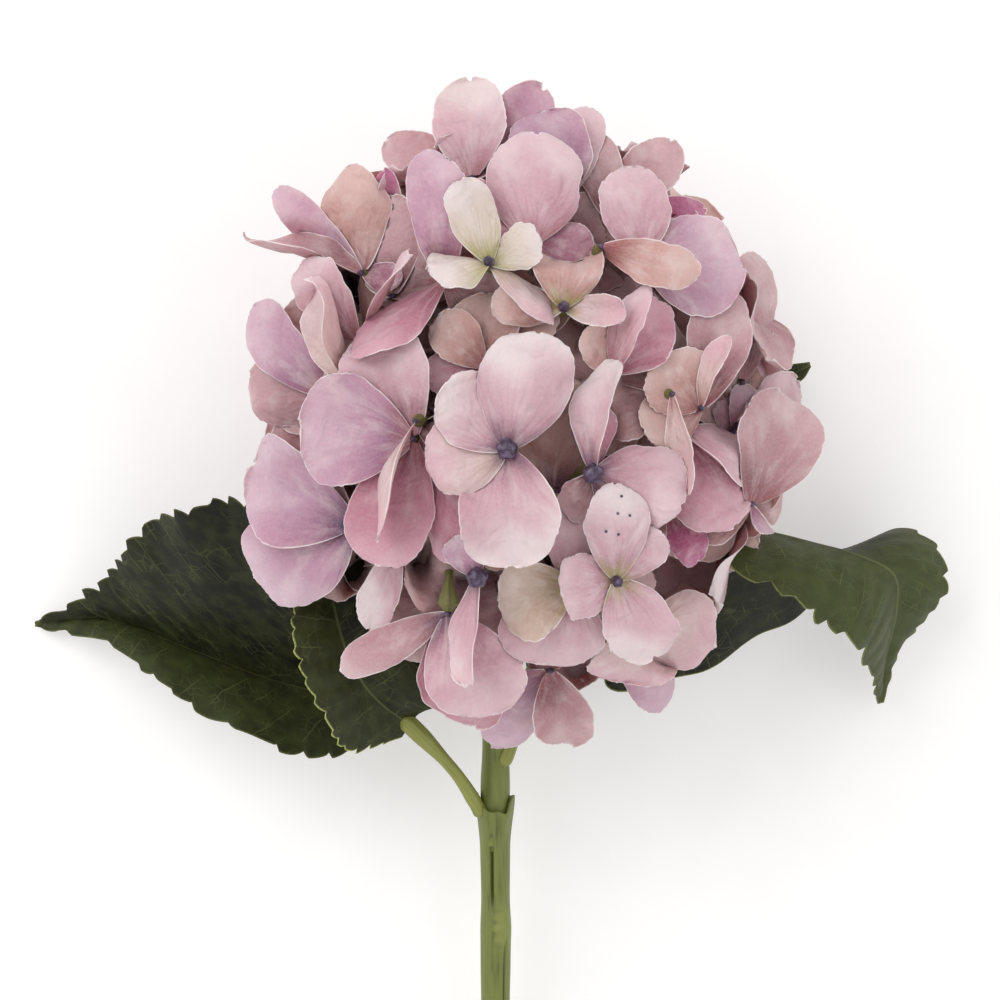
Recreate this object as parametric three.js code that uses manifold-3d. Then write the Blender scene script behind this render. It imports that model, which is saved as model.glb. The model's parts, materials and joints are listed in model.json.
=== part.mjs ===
// A cut hydrangea spray, lying on its back: one round head of four-petalled flowers on forked
// branches, a moulded stem in two pieces and four veined leaves on plug-on leaf stalks.
// Units are millimetres, +Z is up. +X runs across the head and +Y from the cut end of the stem to the
// top of the head. The flowers that face up are placed one by one, the ones underneath by a rule.

import * as THREE from "three";
import { mergeVertices } from "three/addons/utils/BufferGeometryUtils.js";
import Module from "manifold-3d";

const wasm = await Module();
wasm.setup();

// ---- Sizes that can be set by themselves, in millimetres ----

const HEAD_WIDTH = 144; // along X, over the petals
const HEAD_LENGTH = 168; // along Y, over the petals
const HEAD_DEPTH = 124; // along Z, over the petals
const PETAL_LENGTH = 25; // eye to tip of a common petal
const PETAL_THICKNESS = 0.8;
const EYE_DIAMETER = 5; // the bead in the middle of a flower, with the cup that holds the petals
const PEDICEL_DIAMETER = 2.6; // the thin stalk of one flower
const BRANCH_DIAMETER = 4.4; // the thick stalks that fork into pedicels
const STEM_LENGTH = 163; // from the cut end to where the stem goes in under the head
const STEM_DIAMETER = 7.6;
const SOCKET_DEPTH = 4; // how far the upper stem is pushed into the lower one
const COLLAR_FLARE = 1.1; // how far the mouth of the lower stem stands out all round
const STALK_DIAMETER = 4.2; // leaf stalks
const LEAF_THICKNESS = 0.9;
const LEAF_SCALE = 1; // all four leaves together
const GAP = 0.45; // clear air between neighbouring pieces
const SMALLEST_DETAIL = 0.18; // what a cut leaves that is finer than this is smoothed away

// ---- Places that follow from them ----

const halfWidth = HEAD_WIDTH / 2;
const halfLength = HEAD_LENGTH / 2;
const halfDepth = HEAD_DEPTH / 2;
const HEAD_CENTRE = new THREE.Vector3(7.5, 20, halfDepth);
const EYE_DEPTH = 0.84; // the eyes lie this share of the way out to the petals' dome
const FORK_POINT = new THREE.Vector3(2, HEAD_CENTRE.y - 0.45 * halfLength, 0.72 * halfDepth);
const headFoot = new THREE.Vector3(-1, HEAD_CENTRE.y - halfLength + 2, 0.56 * halfDepth);

// ---- Helpers: plain geometry in, solid out ----

const deg = THREE.MathUtils.degToRad;
const clamp = THREE.MathUtils.clamp;
const smooth = (low, high, x) => THREE.MathUtils.smoothstep(x, low, high);
const vec = (x, y, z) => new THREE.Vector3(x, y, z);

/** A closed three.js geometry as a solid that can be joined and cut. */
function solid(geometry) {
  const bare = new THREE.BufferGeometry();
  bare.setAttribute("position", geometry.getAttribute("position"));
  bare.setIndex(geometry.index);
  const closed = mergeVertices(bare, 1e-4);
  const vertProperties = new Float32Array(closed.getAttribute("position").array);
  const triVerts = new Uint32Array(closed.index.array);
  return new wasm.Manifold(new wasm.Mesh({ numProp: 3, vertProperties, triVerts }));
}

/** Moves every point of a geometry by a rule that takes its old place. */
function reshape(geometry, rule) {
  const points = geometry.getAttribute("position");
  const point = new THREE.Vector3();
  for (let i = 0; i < points.count; i += 1) {
    point.fromBufferAttribute(points, i);
    const moved = rule(point);
    points.setXYZ(i, moved.x, moved.y, moved.z);
  }
  return geometry;
}

/** A round rod along a smooth curve, with a radius that may change from end to end. */
function rod(curve, radiusAt, sides, steps, grow) {
  const frames = curve.computeFrenetFrames(steps, false);
  const shaft = new THREE.CylinderGeometry(1, 1, 1, sides, steps);
  return solid(reshape(shaft, (p) => {
    const step = Math.round((0.5 - p.y) * steps);
    const along = step / steps;
    const radius = radiusAt(along);
    const pastEnd = grow * (Math.floor(along) - Math.floor(1 - along));
    const centre = curve.getPointAt(along).addScaledVector(frames.tangents[step], pastEnd);
    return centre.addScaledVector(frames.normals[step], p.x * radius)
      .addScaledVector(frames.binormals[step], p.z * radius);
  }));
}

/** The biggest of the separate bodies that a cut has left. */
function largest(body) {
  const pieces = body.decompose();
  pieces.sort((a, b) => b.volume() - a.volume());
  return pieces[0];
}

const boxesMeet = (a, b) => [0, 1, 2].every((k) => a.min[k] < b.max[k] && b.min[k] < a.max[k]);

// ---- Blades: a petal or a leaf is a thin box bent to shape ----

/** A sheet one unit thick, two wide and one long, both skins split along the same diagonals. */
function sheet(columns, rows) {
  const box = new THREE.BoxGeometry(2, 1, 1, columns, rows, 1);
  const index = Array.from(box.index.array);
  const lowerSkin = box.groups.at(-1);
  for (let i = lowerSkin.start; i < index.length; i += 6) {
    const [a, b, d, , c] = index.slice(i, i + 6);
    index.splice(i, 6, a, b, c, a, c, d);
  }
  box.setIndex(index);
  return box;
}

const CLAW_WIDTH = 0.1; // a petal's width at its root, as a share of its greatest width
const CLAW_CURVE = 1.15; // how hollow the sides of the root are
const PETAL_ROOT = 0.02; // where the blade starts, as a share of the petal's length
const BROADEST_AT = 0.62;
const TIP_REACH = 0.43; // from the broadest place to where the rounded tip would close
const PETAL_CUP = 0.05; // how far the sides and the middle rise, as shares of width and length

/** Half the width of a petal at a share t of its length, as a share of its greatest half width. */
function petalOutline(t) {
  const spread = Math.sin((Math.PI / 2) * clamp(t / BROADEST_AT, 0, 1)) ** CLAW_CURVE;
  const tip = Math.sqrt(1 - clamp((t - BROADEST_AT) / TIP_REACH, 0, 1) ** 2);
  return (CLAW_WIDTH + (1 - CLAW_WIDTH) * spread) * tip;
}

/** One petal. The frame gives its root, heading, side and face; grow makes it thicker all round. */
function petalSolid(frame, length, width, grow) {
  const thickness = PETAL_THICKNESS + 2 * grow;
  const rows = [PETAL_ROOT, BROADEST_AT, 1];
  const blade = sheet(2, rows.length - 1);
  return solid(reshape(blade, (p) => {
    const t = rows[Math.round((p.y + 0.5) * (rows.length - 1))];
    const reach = t * length + (t === 1 ? grow : 0);
    const half = petalOutline(t) * width / 2 + grow;
    const cup = PETAL_CUP * (width * p.x * p.x * t + length * Math.sin(Math.PI * t));
    const point = frame.root.clone().addScaledVector(frame.heading, reach)
      .addScaledVector(frame.side, p.x * half)
      .addScaledVector(frame.face, cup + p.z * thickness);
    const upperSkin = p.z * frame.face.z > 0;
    point.z = Math.max(point.z, upperSkin ? PETAL_THICKNESS + grow : -grow);
    return point;
  }));
}

// ---- The flowers that face up or to the sides ----
// at: across and along from the middle of the head, as shares of its half width and half length, and
// mm above the common depth of the eyes. Each petal: heading in degrees from +X towards +Y, length and
// width in plan as shares of PETAL_LENGTH, roll about its own length and lift off the dome in degrees.

const PINK = 0xdbbdc4;
const LILAC = 0xc5a1ae;
const CREAM = 0xe0cfc9;
const DUSTY = 0xa88084;
const ROSE = 0xa9657f;

const upperFlowers = [
  {
    at: [-0.08, -0.09, 3],
    tint: PINK,
    petals: [[75, 1.16, 0.94], [133, 0.88, 0.72], [187, 0.8, 0.78], [272, 1.14, 1.02]],
  },
  {
    at: [0.29, -0.47, 4],
    tint: PINK,
    petals: [[90, 0.92, 0.64], [46, 0.64, 0.48], [297, 0.87, 0.74], [192, 0.56, 0.66]],
  },
  {
    at: [0.21, -0.16, 0],
    tint: PINK,
    petals: [[79, 1.12, 0.36, -50], [340, 0.92, 0.96], [103, 0.82, 0.24, 65], [250, 0.5, 0.42, 0, -30]],
  },
  { at: [0.48, 0.07, 1], tint: CREAM, petals: [[279, 1, 0.24, 55, 10]] },
  { at: [0.76, -0.25, 5], tint: DUSTY, petals: [[77, 1.16, 0.97], [305, 0.36, 0.14, 50]] },
  {
    at: [0.14, -0.48, -4],
    tint: PINK,
    petals: [[196, 0.74, 0.76], [250, 0.86, 1.02, 0, -5], [95, 0.72, 0.44]],
  },
  {
    at: [-0.14, 0.45, 3],
    tint: CREAM,
    petals: [
      [108, 0.86, 0.5, 35, 10], [184, 0.6, 0.26, 58, 10],
      [25, 0.56, 0.42, 0, 10], [318, 0.86, 0.22, -55],
    ],
  },
  { at: [-0.29, 0.4, 0], tint: LILAC, petals: [[93, 1.3, 0.58, -18, 12], [216, 1.15, 0.42, 40, 4]] },
  {
    at: [0.01, 0.51, -1],
    tint: PINK,
    petals: [[88, 1.1, 0.97], [139, 0.9, 0.5, -20, -15], [12, 0.6, 0.4, 0, -20]],
  },
  {
    at: [0.11, 0.32, 0],
    tint: DUSTY,
    petals: [[84, 0.76, 0.7], [355, 0.62, 0.32, 20, 20], [176, 0.7, 0.42]],
  },
  { at: [0.24, 0.5, 5], tint: DUSTY, petals: [[340, 0.98, 0.46, 20, 6]] },
  { at: [0.38, 0.47, 0], tint: LILAC, petals: [[99, 0.9, 0.7], [353, 0.98, 1.02]] },
  { at: [0.09, 0.63, -8], tint: LILAC, petals: [[96, 0.98, 0.82], [72, 1.05, 0.5, 0, -8]] },
  {
    at: [0.28, 0.13, -3],
    tint: ROSE,
    petals: [[72, 0.92, 0.3, -52, 15], [58, 0.84, 0.52, 28], [118, 0.52, 0.46, 0, 15]],
  },
  {
    at: [0.58, 0.03, 0],
    tint: DUSTY,
    petals: [[75, 0.76, 0.2, -60, 15], [130, 0.64, 0.74], [77, 1.22, 0.62, 0, -5], [200, 0.6, 0.6]],
  },
  { at: [0.73, 0.11, -10], tint: DUSTY, petals: [[80, 1.32, 0.55], [66, 0.62, 0.15, -60, 10]] },
  { at: [0.71, -0.04, -14], tint: PINK, petals: [[82, 0.5, 0.3], [118, 0.42, 0.25], [40, 0.84, 0.5]] },
  { at: [0.52, -0.03, 0], tint: ROSE, petals: [[324, 0.98, 0.38, -38, 10], [300, 1.08, 0.9]] },
  { at: [-0.39, -0.01, 3], tint: CREAM, petals: [[260, 1.22, 0.2, 66, 12]] },
  { at: [-0.4, -0.06, -2], tint: LILAC, petals: [[172, 1.1, 1.15], [109, 1.16, 0.85], [254, 1.3, 0.85]] },
  { at: [-0.64, 0.1, 0], tint: CREAM, petals: [[97, 1.09, 0.38, -50, 5]] },
  { at: [-0.59, 0.23, -5], tint: PINK, petals: [[125, 1, 0.52], [54, 0.98, 0.16, -70, 20]] },
  { at: [-0.69, 0.07, -14], tint: DUSTY, petals: [[132, 1.2, 0.55], [165, 0.8, 0.92]] },
  {
    at: [-0.61, -0.31, -3],
    tint: LILAC,
    petals: [[152, 1.19, 1, 0, -5], [143, 0.87, 0.66, 15, 12], [208, 1.2, 1]],
  },
  {
    at: [-0.58, 0.43, -5],
    tint: DUSTY,
    petals: [[168, 1.25, 0.2, 62, 4], [135, 1.18, 0.36, 30, 5], [99, 1.05, 0.68], [350, 0.4, 0.3]],
  },
  { at: [-0.47, 0.36, -6], tint: ROSE, petals: [[91, 1.02, 0.5], [96, 1.36, 0.4, 0, -4]] },
  {
    at: [-0.2, 0.71, -4],
    tint: PINK,
    petals: [[91, 0.98, 0.74], [53, 1.17, 0.6, 15], [152, 0.9, 0.55, 0, -12]],
  },
  {
    at: [0.28, 0.58, -8],
    tint: DUSTY,
    petals: [[101, 0.95, 0.44], [54, 0.98, 0.58], [20, 0.6, 0.42, 0, -5], [13, 0.92, 0.26, 0, -12]],
  },
  { at: [-0.18, -0.46, 3], tint: PINK, petals: [[261, 1.1, 0.24, 60, 10], [120, 0.45, 0.4, 0, -10]] },
  {
    at: [-0.28, -0.57, 0],
    tint: ROSE,
    petals: [[297, 1.08, 0.95], [207, 1.28, 0.4, 30], [279, 1.3, 0.8, 0, -14]],
  },
  {
    at: [0.07, -0.74, -6],
    tint: LILAC,
    petals: [[285, 0.82, 0.6], [238, 1, 0.6, 0, -12], [262, 0.5, 0.5, 0, 10]],
  },
  {
    at: [0.38, -0.61, -5],
    tint: CREAM,
    petals: [[345, 0.75, 0.8], [250, 0.6, 0.85], [285, 0.85, 0.5, 0, -15]],
  },
  { at: [-0.29, -0.12, -5], tint: ROSE, petals: [[274, 1.02, 0.45, 20]] },
  { at: [-0.45, -0.38, -12], tint: PINK, petals: [[250, 0.84, 0.4, 20]] },
  {
    at: [-0.16, 0.15, -7],
    tint: DUSTY,
    petals: [[132, 0.66, 0.5], [88, 0.72, 0.72], [48, 0.95, 0.62], [190, 0.6, 0.44]],
  },
  { at: [0.48, -0.27, -10], tint: ROSE, petals: [[300, 0.58, 0.42]] },
];

const FACING_TILT = 0.6; // how much of the dome's own slope a flower takes
const STEEPEST_TILT = 38; // degrees

/** Where a flower sits and which way it faces, from its place on the head. */
function flowerSeat([across, along, rise]) {
  const up = Math.sqrt(Math.max(0, EYE_DEPTH ** 2 - across ** 2 - along ** 2));
  const eye = HEAD_CENTRE.clone().add(vec(across * halfWidth, along * halfLength, up * halfDepth + rise));
  const slope = vec(across / halfWidth, along / halfLength, 0).multiplyScalar(halfDepth / Math.max(up, 0.3));
  const tilt = Math.min(Math.atan(slope.length()) * FACING_TILT, deg(STEEPEST_TILT));
  const facing = slope.setLength(Math.sin(tilt)).setZ(Math.cos(tilt));
  return { eye, facing };
}

/** The frame of a petal that leaves the eye along a heading seen in plan. */
function petalFrame(seat, [heading, , , roll = 0, lift = 0]) {
  const plan = vec(Math.cos(deg(heading)), Math.sin(deg(heading)), 0);
  const flat = plan.clone().setZ(-plan.dot(seat.facing) / seat.facing.z).normalize();
  return liftedFrame(seat, flat, roll, lift);
}

/** Tips a petal off the flower's own plane and rolls it about its length. */
function liftedFrame(seat, flat, roll, lift) {
  const heading = flat.clone().multiplyScalar(Math.cos(deg(lift)));
  heading.addScaledVector(seat.facing, Math.sin(deg(lift)));
  const face = seat.facing.clone().addScaledVector(heading, -seat.facing.dot(heading)).normalize();
  const side = heading.clone().cross(face).normalize();
  side.applyAxisAngle(heading, deg(roll));
  face.applyAxisAngle(heading, deg(roll));
  return { root: seat.eye, heading, side, face };
}

const HIDDEN_LENGTH = 0.72; // of a petal tucked back under the others, as shares of PETAL_LENGTH
const HIDDEN_WIDTH = 0.62;
const HIDDEN_LIFT = -28; // degrees

/** Fills a flower up to four petals, each in the widest gap left and tucked back under the others. */
function withHiddenPetals(petals) {
  const all = [...petals];
  while (all.length < 4) {
    const turns = all.map(([heading]) => heading).sort((a, b) => a - b);
    let widest = { span: 0, middle: 0 };
    turns.forEach((from, i) => {
      const to = i + 1 < turns.length ? turns[i + 1] : turns[0] + 360;
      if (to - from > widest.span) widest = { span: to - from, middle: (from + to) / 2 };
    });
    all.push([widest.middle, HIDDEN_LENGTH, HIDDEN_WIDTH, 0, HIDDEN_LIFT]);
  }
  return all;
}

const WIDEST_PETAL = 1.1; // as a share of PETAL_LENGTH
const LONGEST_PETAL = 1.34;

/** Petal sizes along the blade itself, from the sizes in plan. */
function trueSize(frame, [, planLength, planWidth]) {
  const plan = Math.hypot(frame.heading.x, frame.heading.y);
  const length = Math.min(planLength / plan, LONGEST_PETAL);
  const across = Math.abs(frame.side.x * frame.heading.y - frame.side.y * frame.heading.x) / plan;
  const width = Math.min(planWidth / Math.max(across, 0.25), WIDEST_PETAL);
  return { length: length * PETAL_LENGTH, width: width * PETAL_LENGTH };
}

function upperFlower(flower) {
  const seat = flowerSeat(flower.at);
  const petals = withHiddenPetals(flower.petals).map((petal) => {
    const frame = petalFrame(seat, petal);
    return { frame, ...trueSize(frame, petal) };
  });
  return { seat, petals, tint: flower.tint };
}

// ---- The flowers underneath, spread evenly over the lower half of the head ----

const LOWER_FLOWERS = 12;
const GOLDEN_ANGLE = 137.508;
const STEM_CLEARANCE = 30; // degrees kept free of flowers round the stem
const LOWER_EYE_DEPTH = 0.8; // how far out their eyes lie from the middle of the head
const LOWEST_SHARE = 1.04; // how far down the head the last of them sits
const LOWER_PETAL_ROLL = 8; // degrees
const LOWER_PETAL_WIDTH = 0.9; // as a share of PETAL_LENGTH

function lowerFlowers() {
  const stemWay = headFoot.clone().sub(HEAD_CENTRE).normalize();
  const flowers = [];
  for (let i = 0; flowers.length < LOWER_FLOWERS; i += 1) {
    const down = 1 - (LOWEST_SHARE * (i + 0.5)) / (LOWER_FLOWERS + 1);
    const round = deg(GOLDEN_ANGLE * i + 40);
    const out = Math.sqrt(1 - down ** 2);
    const way = vec(out * Math.cos(round), out * Math.sin(round), -down);
    if (way.angleTo(stemWay) < deg(STEM_CLEARANCE)) continue;
    const reach = vec(way.x * halfWidth, way.y * halfLength, way.z * halfDepth);
    const eye = HEAD_CENTRE.clone().addScaledVector(reach, LOWER_EYE_DEPTH);
    const facing = vec(way.x / halfWidth, way.y / halfLength, way.z / halfDepth).normalize();
    const seat = { eye, facing };
    const start = vec(0, 0, 1).cross(facing).normalize();
    const petals = [0, 1, 2, 3].map((k) => {
      const flat = start.clone().applyAxisAngle(facing, deg(90 * k + 31 * i));
      const frame = liftedFrame(seat, flat, LOWER_PETAL_ROLL, -6 + 5 * (k % 2));
      const length = PETAL_LENGTH * (0.98 + 0.04 * (k % 3));
      return { frame, length, width: PETAL_LENGTH * LOWER_PETAL_WIDTH };
    });
    flowers.push({ seat, petals, tint: i % 3 === 0 ? PINK : DUSTY });
  }
  return flowers;
}

/** The four petals joined by the cup and bead in their middle, on their thin stalk. */
function flowerSolid(flower, grow) {
  const radius = EYE_DIAMETER / 2 + grow;
  const bead = new THREE.OctahedronGeometry(radius, 0);
  bead.translate(flower.seat.eye.x, flower.seat.eye.y, flower.seat.eye.z);
  const petals = flower.petals.map((petal) => petalSolid(petal.frame, petal.length, petal.width, grow));
  return wasm.Manifold.union([solid(bead), pedicel(flower, grow), ...petals]);
}

// ---- Stem, branches and leaf stalks ----

const cutEnd = vec(-1.5, headFoot.y - STEM_LENGTH, STEM_DIAMETER / 2);
const stemCurve = new THREE.CatmullRomCurve3([
  cutEnd,
  vec(-1.5, headFoot.y - 0.66 * STEM_LENGTH, STEM_DIAMETER / 2 + 4),
  vec(-1, headFoot.y - 0.3 * STEM_LENGTH, headFoot.z - 10),
  headFoot,
  FORK_POINT,
]);
const stemReach = stemCurve.getLength();
const COLLAR_BELOW_HEAD = 15; // from the head's foot down to the mouth of the lower stem
const mouthAt = (STEM_LENGTH - COLLAR_BELOW_HEAD) / stemReach;

/** The stretch of a curve between two shares of its length. */
function stretch(curve, from, to, points) {
  const places = [];
  for (let i = 0; i < points; i += 1) places.push(curve.getPointAt(from + ((to - from) * i) / (points - 1)));
  return new THREE.CatmullRomCurve3(places);
}

const socketEnd = mouthAt - SOCKET_DEPTH / stemReach;
const NODE_BUMP_AT = 0.78; // where an old leaf scar thickens the lower stem
const NODE_BUMP_HEIGHT = 0.5;
const NODE_BUMP_REACH = 5; // along the stem
const FLARE = 7; // length of the widened mouth

function lowerStem(grow) {
  const course = stretch(stemCurve, 0, mouthAt, 12);
  const reach = course.getLength();
  const flareStart = 1 - FLARE / reach;
  const radius = (t) => {
    const bump = NODE_BUMP_HEIGHT * Math.exp(-(((t - NODE_BUMP_AT) * reach / NODE_BUMP_REACH) ** 2));
    const flare = COLLAR_FLARE * smooth(flareStart - 0.02, 1, t);
    return STEM_DIAMETER / 2 + bump + flare + grow;
  };
  return rod(course, radius, 12, 22, grow);
}

const UPPER_STEM_DIAMETER = STEM_DIAMETER - 1;

function upperStem(grow) {
  const course = stretch(stemCurve, socketEnd, 1, 8);
  return rod(course, () => UPPER_STEM_DIAMETER / 2 + grow, 12, 16, grow);
}

/** Straight or gently bowed rod between points. */
function stalk(points, diameter, sides, steps, grow) {
  return rod(new THREE.CatmullRomCurve3(points), () => diameter / 2 + grow, sides, steps, grow);
}

// The flowers go in bunches, each to the nearest of these ways out from the top of the stem.
const branchWays = [
  vec(0.1, 1, 0.5),
  vec(-0.8, 0.7, 0.35),
  vec(0.85, 0.7, 0.3),
  vec(-0.75, -0.3, 0.6),
  vec(0.8, -0.35, 0.55),
  vec(0.05, 0.1, 1),
  vec(-0.4, 0.5, -0.8),
  vec(0.5, 0.35, -0.8),
];
const FORK_SHARE = 0.42; // a branch ends this share of the way to its flowers
const FORK_DIAMETER = 6.4; // the knob that the flower stalks leave from
const knotCentre = FORK_POINT.clone().add(vec(0, STEM_DIAMETER * 0.4, 2));

/** Sorts the flowers into bunches and gives each flower the fork that its stalk comes from. */
function forkedBunches(flowers) {
  const bunches = branchWays.map(() => []);
  flowers.forEach((flower) => {
    const way = flower.seat.eye.clone().sub(knotCentre);
    const angles = branchWays.map((branch) => branch.angleTo(way));
    bunches[angles.indexOf(Math.min(...angles))].push(flower);
  });
  return bunches.filter((bunch) => bunch.length > 0).map((bunch) => {
    const mean = new THREE.Vector3();
    bunch.forEach((flower) => mean.addScaledVector(flower.seat.eye, 1 / bunch.length));
    const fork = knotCentre.clone().lerp(mean, FORK_SHARE);
    bunch.forEach((flower) => { flower.fork = fork; });
    return fork;
  });
}

/** A ball of few faces, turned so that no face lies level. */
function knob(centre, diameter, grow) {
  const ball = new THREE.IcosahedronGeometry(diameter / 2 + grow, 0);
  ball.translate(centre.x, centre.y, centre.z);
  return solid(ball);
}

/** The thick branches in one piece, from the top of the stem to the forks. */
function flowerBranches(forks, grow) {
  const arms = forks.map((fork) => stalk([knotCentre, fork], BRANCH_DIAMETER, 6, 1, grow));
  const knobs = forks.map((fork) => knob(fork, FORK_DIAMETER, grow));
  return wasm.Manifold.union([knob(knotCentre, 2 * BRANCH_DIAMETER, grow), ...arms, ...knobs]);
}

/** The thin stalk of one flower, from its fork up to the back of its eye. */
function pedicel({ seat, fork }, grow) {
  const bend = seat.eye.clone().addScaledVector(seat.facing, -0.25 * seat.eye.distanceTo(fork));
  const start = fork.clone().add(bend.clone().sub(fork).setLength(FORK_DIAMETER / 2 + 2 * GAP));
  return stalk([start, bend, seat.eye], PEDICEL_DIAMETER, 4, 2, grow);
}

// ---- Leaves ----
// Each leaf is given by three curves with as many points each, from the stalk to the tip: the midrib and
// the margins of the halves to its left and right, seen from the stalk.

const leaves = [
  {
    name: "left",
    footBelowFork: 28,
    footSide: [-1, 0, -0.25],
    bow: [0, 1, -1],
    left: [[-27, -57, 29], [-42, -65, 36], [-60, -61, 40], [-80, -51, 32], [-100, -37, 14], [-120, -32.5, 2]],
    rib: [[-26, -55, 30], [-45, -49, 25], [-60, -45, 21], [-79, -38, 16], [-100, -31, 8], [-120, -32, 2]],
    right: [
      [-27, -53, 31], [-42, -20, 52], [-60, -3, 56], [-76, -1.5, 50],
      [-90, -7, 36], [-100, -19, 18], [-109, -26, 8], [-120, -31.5, 2],
    ],
  },
  {
    name: "front_left",
    footBelowFork: 64,
    footSide: [-1, 0, 0.5],
    bow: [2.2, 0, 1],
    left: [[-25, -60, 43], [-38, -63, 50], [-45, -52, 62], [-52, -33, 66], [-45, -10, 56]],
    rib: [[-23, -56.5, 44], [-32, -49, 50], [-38, -40, 56], [-42, -26, 58], [-44, -10, 56]],
    right: [[-21, -54, 44], [-14, -50, 50], [-16, -34, 52], [-26, -18, 54], [-43, -10, 56]],
  },
  {
    name: "right",
    footBelowFork: 54,
    footSide: [0.75, 0, 0.7],
    bow: [-6, 1, 0],
    left: [
      [29, -33, 35], [27, -47, 32], [44, -46, 24], [64, -36.5, 18], [83, -24, 10], [100, -8, 16],
      [111, -11.5, 20], [114.5, -20, 20], [108, -31, 16], [102, -39, 11], [98.5, -52.5, 6],
    ],
    rib: [
      [28, -30, 36], [48, -9, 44], [64, -8, 46], [80, -11.5, 44], [91, -14.5, 41],
      [99.5, -19, 35], [100.5, -28, 27], [98.5, -40, 15], [97.5, -52.5, 6],
    ],
    right: [
      [29, -29, 38], [46, -11, 58], [54, -15, 62], [65, -20, 62],
      [80, -29.5, 55], [89, -36, 44], [93.5, -42, 30], [97, -52.5, 6],
    ],
  },
  {
    name: "back",
    footBelowFork: 46,
    footSide: [0.1, 0, -1],
    bow: [-1, 0, -1],
    left: [[7, -45, 14], [4, -10, 12], [32, 28, 10], [80, 35.5, 10]],
    rib: [[8, -46, 14], [20, -16, 8], [46, 15, 6], [80, 35, 10]],
    right: [[9, -47, 14], [36, -18, 10], [62, 8, 8], [80, 34.5, 10]],
  },
];

/** One of the three curves of a leaf, scaled from where its stalk ends. */
function leafCurve(leaf, line) {
  const root = vec(...leaf.rib[0]);
  const points = leaf[line].map((place) => vec(...place).sub(root).multiplyScalar(LEAF_SCALE).add(root));
  return new THREE.CatmullRomCurve3(points, false, "centripetal");
}

function leafSolid(leaf, grow) {
  const [left, rib, right] = ["left", "rib", "right"].map((line) => leafCurve(leaf, line));
  const ROWS = 10;
  const TIP = 0.985;
  const thickness = LEAF_THICKNESS + 2 * grow;
  const blade = sheet(4, ROWS);
  return solid(reshape(blade, (p) => {
    const t = Math.min(Math.round((p.y + 0.5) * ROWS) / ROWS, TIP);
    const middle = rib.getPoint(t);
    const along = rib.getTangent(t);
    const toLeft = left.getPoint(t).sub(middle);
    const toRight = right.getPoint(t).sub(middle);
    const leftFace = along.clone().cross(toLeft).normalize();
    const rightFace = toRight.clone().cross(along).normalize();
    const ridgeFace = leftFace.clone().add(rightFace).normalize();
    const face = [leftFace, ridgeFace, rightFace][Math.sign(p.x) + 1];
    const way = p.x < 0 ? toLeft : toRight;
    const reach = Math.abs(p.x) * (way.length() + grow);
    const point = middle.addScaledVector(way.normalize(), reach).addScaledVector(face, p.z * thickness);
    const upperSkin = p.z * face.z > 0;
    point.z = Math.max(point.z, upperSkin ? LEAF_THICKNESS + grow : -grow);
    return point;
  }));
}

/** From beside the stem to just short of the leaf. */
function leafStalk(leaf, grow) {
  const root = vec(...leaf.rib[0]);
  const back = root.clone().sub(leafCurve(leaf, "rib").getPointAt(0.06));
  const end = root.add(back.setLength(STALK_DIAMETER / 2 + GAP));
  const beside = (UPPER_STEM_DIAMETER + STALK_DIAMETER) / 2 + 1.5 * GAP;
  const stem = stemCurve.getPointAt(1 - leaf.footBelowFork / stemReach);
  const foot = stem.addScaledVector(vec(...leaf.footSide).normalize(), beside);
  const bow = foot.clone().lerp(end, 0.45).add(vec(...leaf.bow));
  return stalk([foot, bow, end], STALK_DIAMETER, 8, 6, grow);
}

// ---- Putting it together: each piece is cut clear of the ones already in place ----

const assembly = new THREE.Group();
const inPlace = [];

const finish = {
  stem: { color: 0x737840, roughness: 0.55, metalness: 0 },
  stalk: { color: 0x8f9050, roughness: 0.55, metalness: 0 },
  leaf: { color: 0x3c3d2b, roughness: 0.7, metalness: 0 },
  petal: { roughness: 0.75, metalness: 0 },
};

function place(name, look, build) {
  let body = build(0);
  const box = body.boundingBox();
  const neighbours = inPlace.filter((other) => boxesMeet(other.box, box)).map((other) => other.clear);
  if (neighbours.length > 0) body = body.subtract(wasm.Manifold.union(neighbours));
  body = largest(body.simplify(SMALLEST_DETAIL));
  const clear = build(GAP);
  inPlace.push({ clear, box: clear.boundingBox() });
  const { vertProperties, triVerts } = body.getMesh();
  const geometry = new THREE.BufferGeometry();
  geometry.setAttribute("position", new THREE.Float32BufferAttribute(vertProperties, 3));
  geometry.setIndex(Array.from(triVerts));
  geometry.computeVertexNormals();
  const mesh = new THREE.Mesh(geometry, new THREE.MeshStandardMaterial(look));
  mesh.name = name;
  assembly.add(mesh);
}

const upper = upperFlowers.map(upperFlower);
const lower = lowerFlowers();
const flowers = [...upper, ...lower];
const forks = forkedBunches(flowers);

place("upper_stem", finish.stem, upperStem);
place("lower_stem", finish.stem, lowerStem);
place("flower_branches", finish.stalk, (grow) => flowerBranches(forks, grow));
leaves.forEach((leaf) => place(`leaf_stalk_${leaf.name}`, finish.stalk, (grow) => leafStalk(leaf, grow)));
leaves.forEach((leaf) => place(`leaf_${leaf.name}`, finish.leaf, (grow) => leafSolid(leaf, grow)));

flowers.forEach((flower, index) => {
  const name = `flower_${String(index + 1).padStart(2, "0")}`;
  place(name, { ...finish.petal, color: flower.tint }, (grow) => flowerSolid(flower, grow));
});

// The origin is the middle of the footprint, on the surface that the spray lies on.
const bounds = new THREE.Box3().setFromObject(assembly);
const middle = bounds.getCenter(new THREE.Vector3());
assembly.position.set(-middle.x, -middle.y, -bounds.min.z);

export default assembly;
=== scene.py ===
"""An artificial hydrangea stem lying on its back: its petals, beads, stalks, leaves and stem."""

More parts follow.
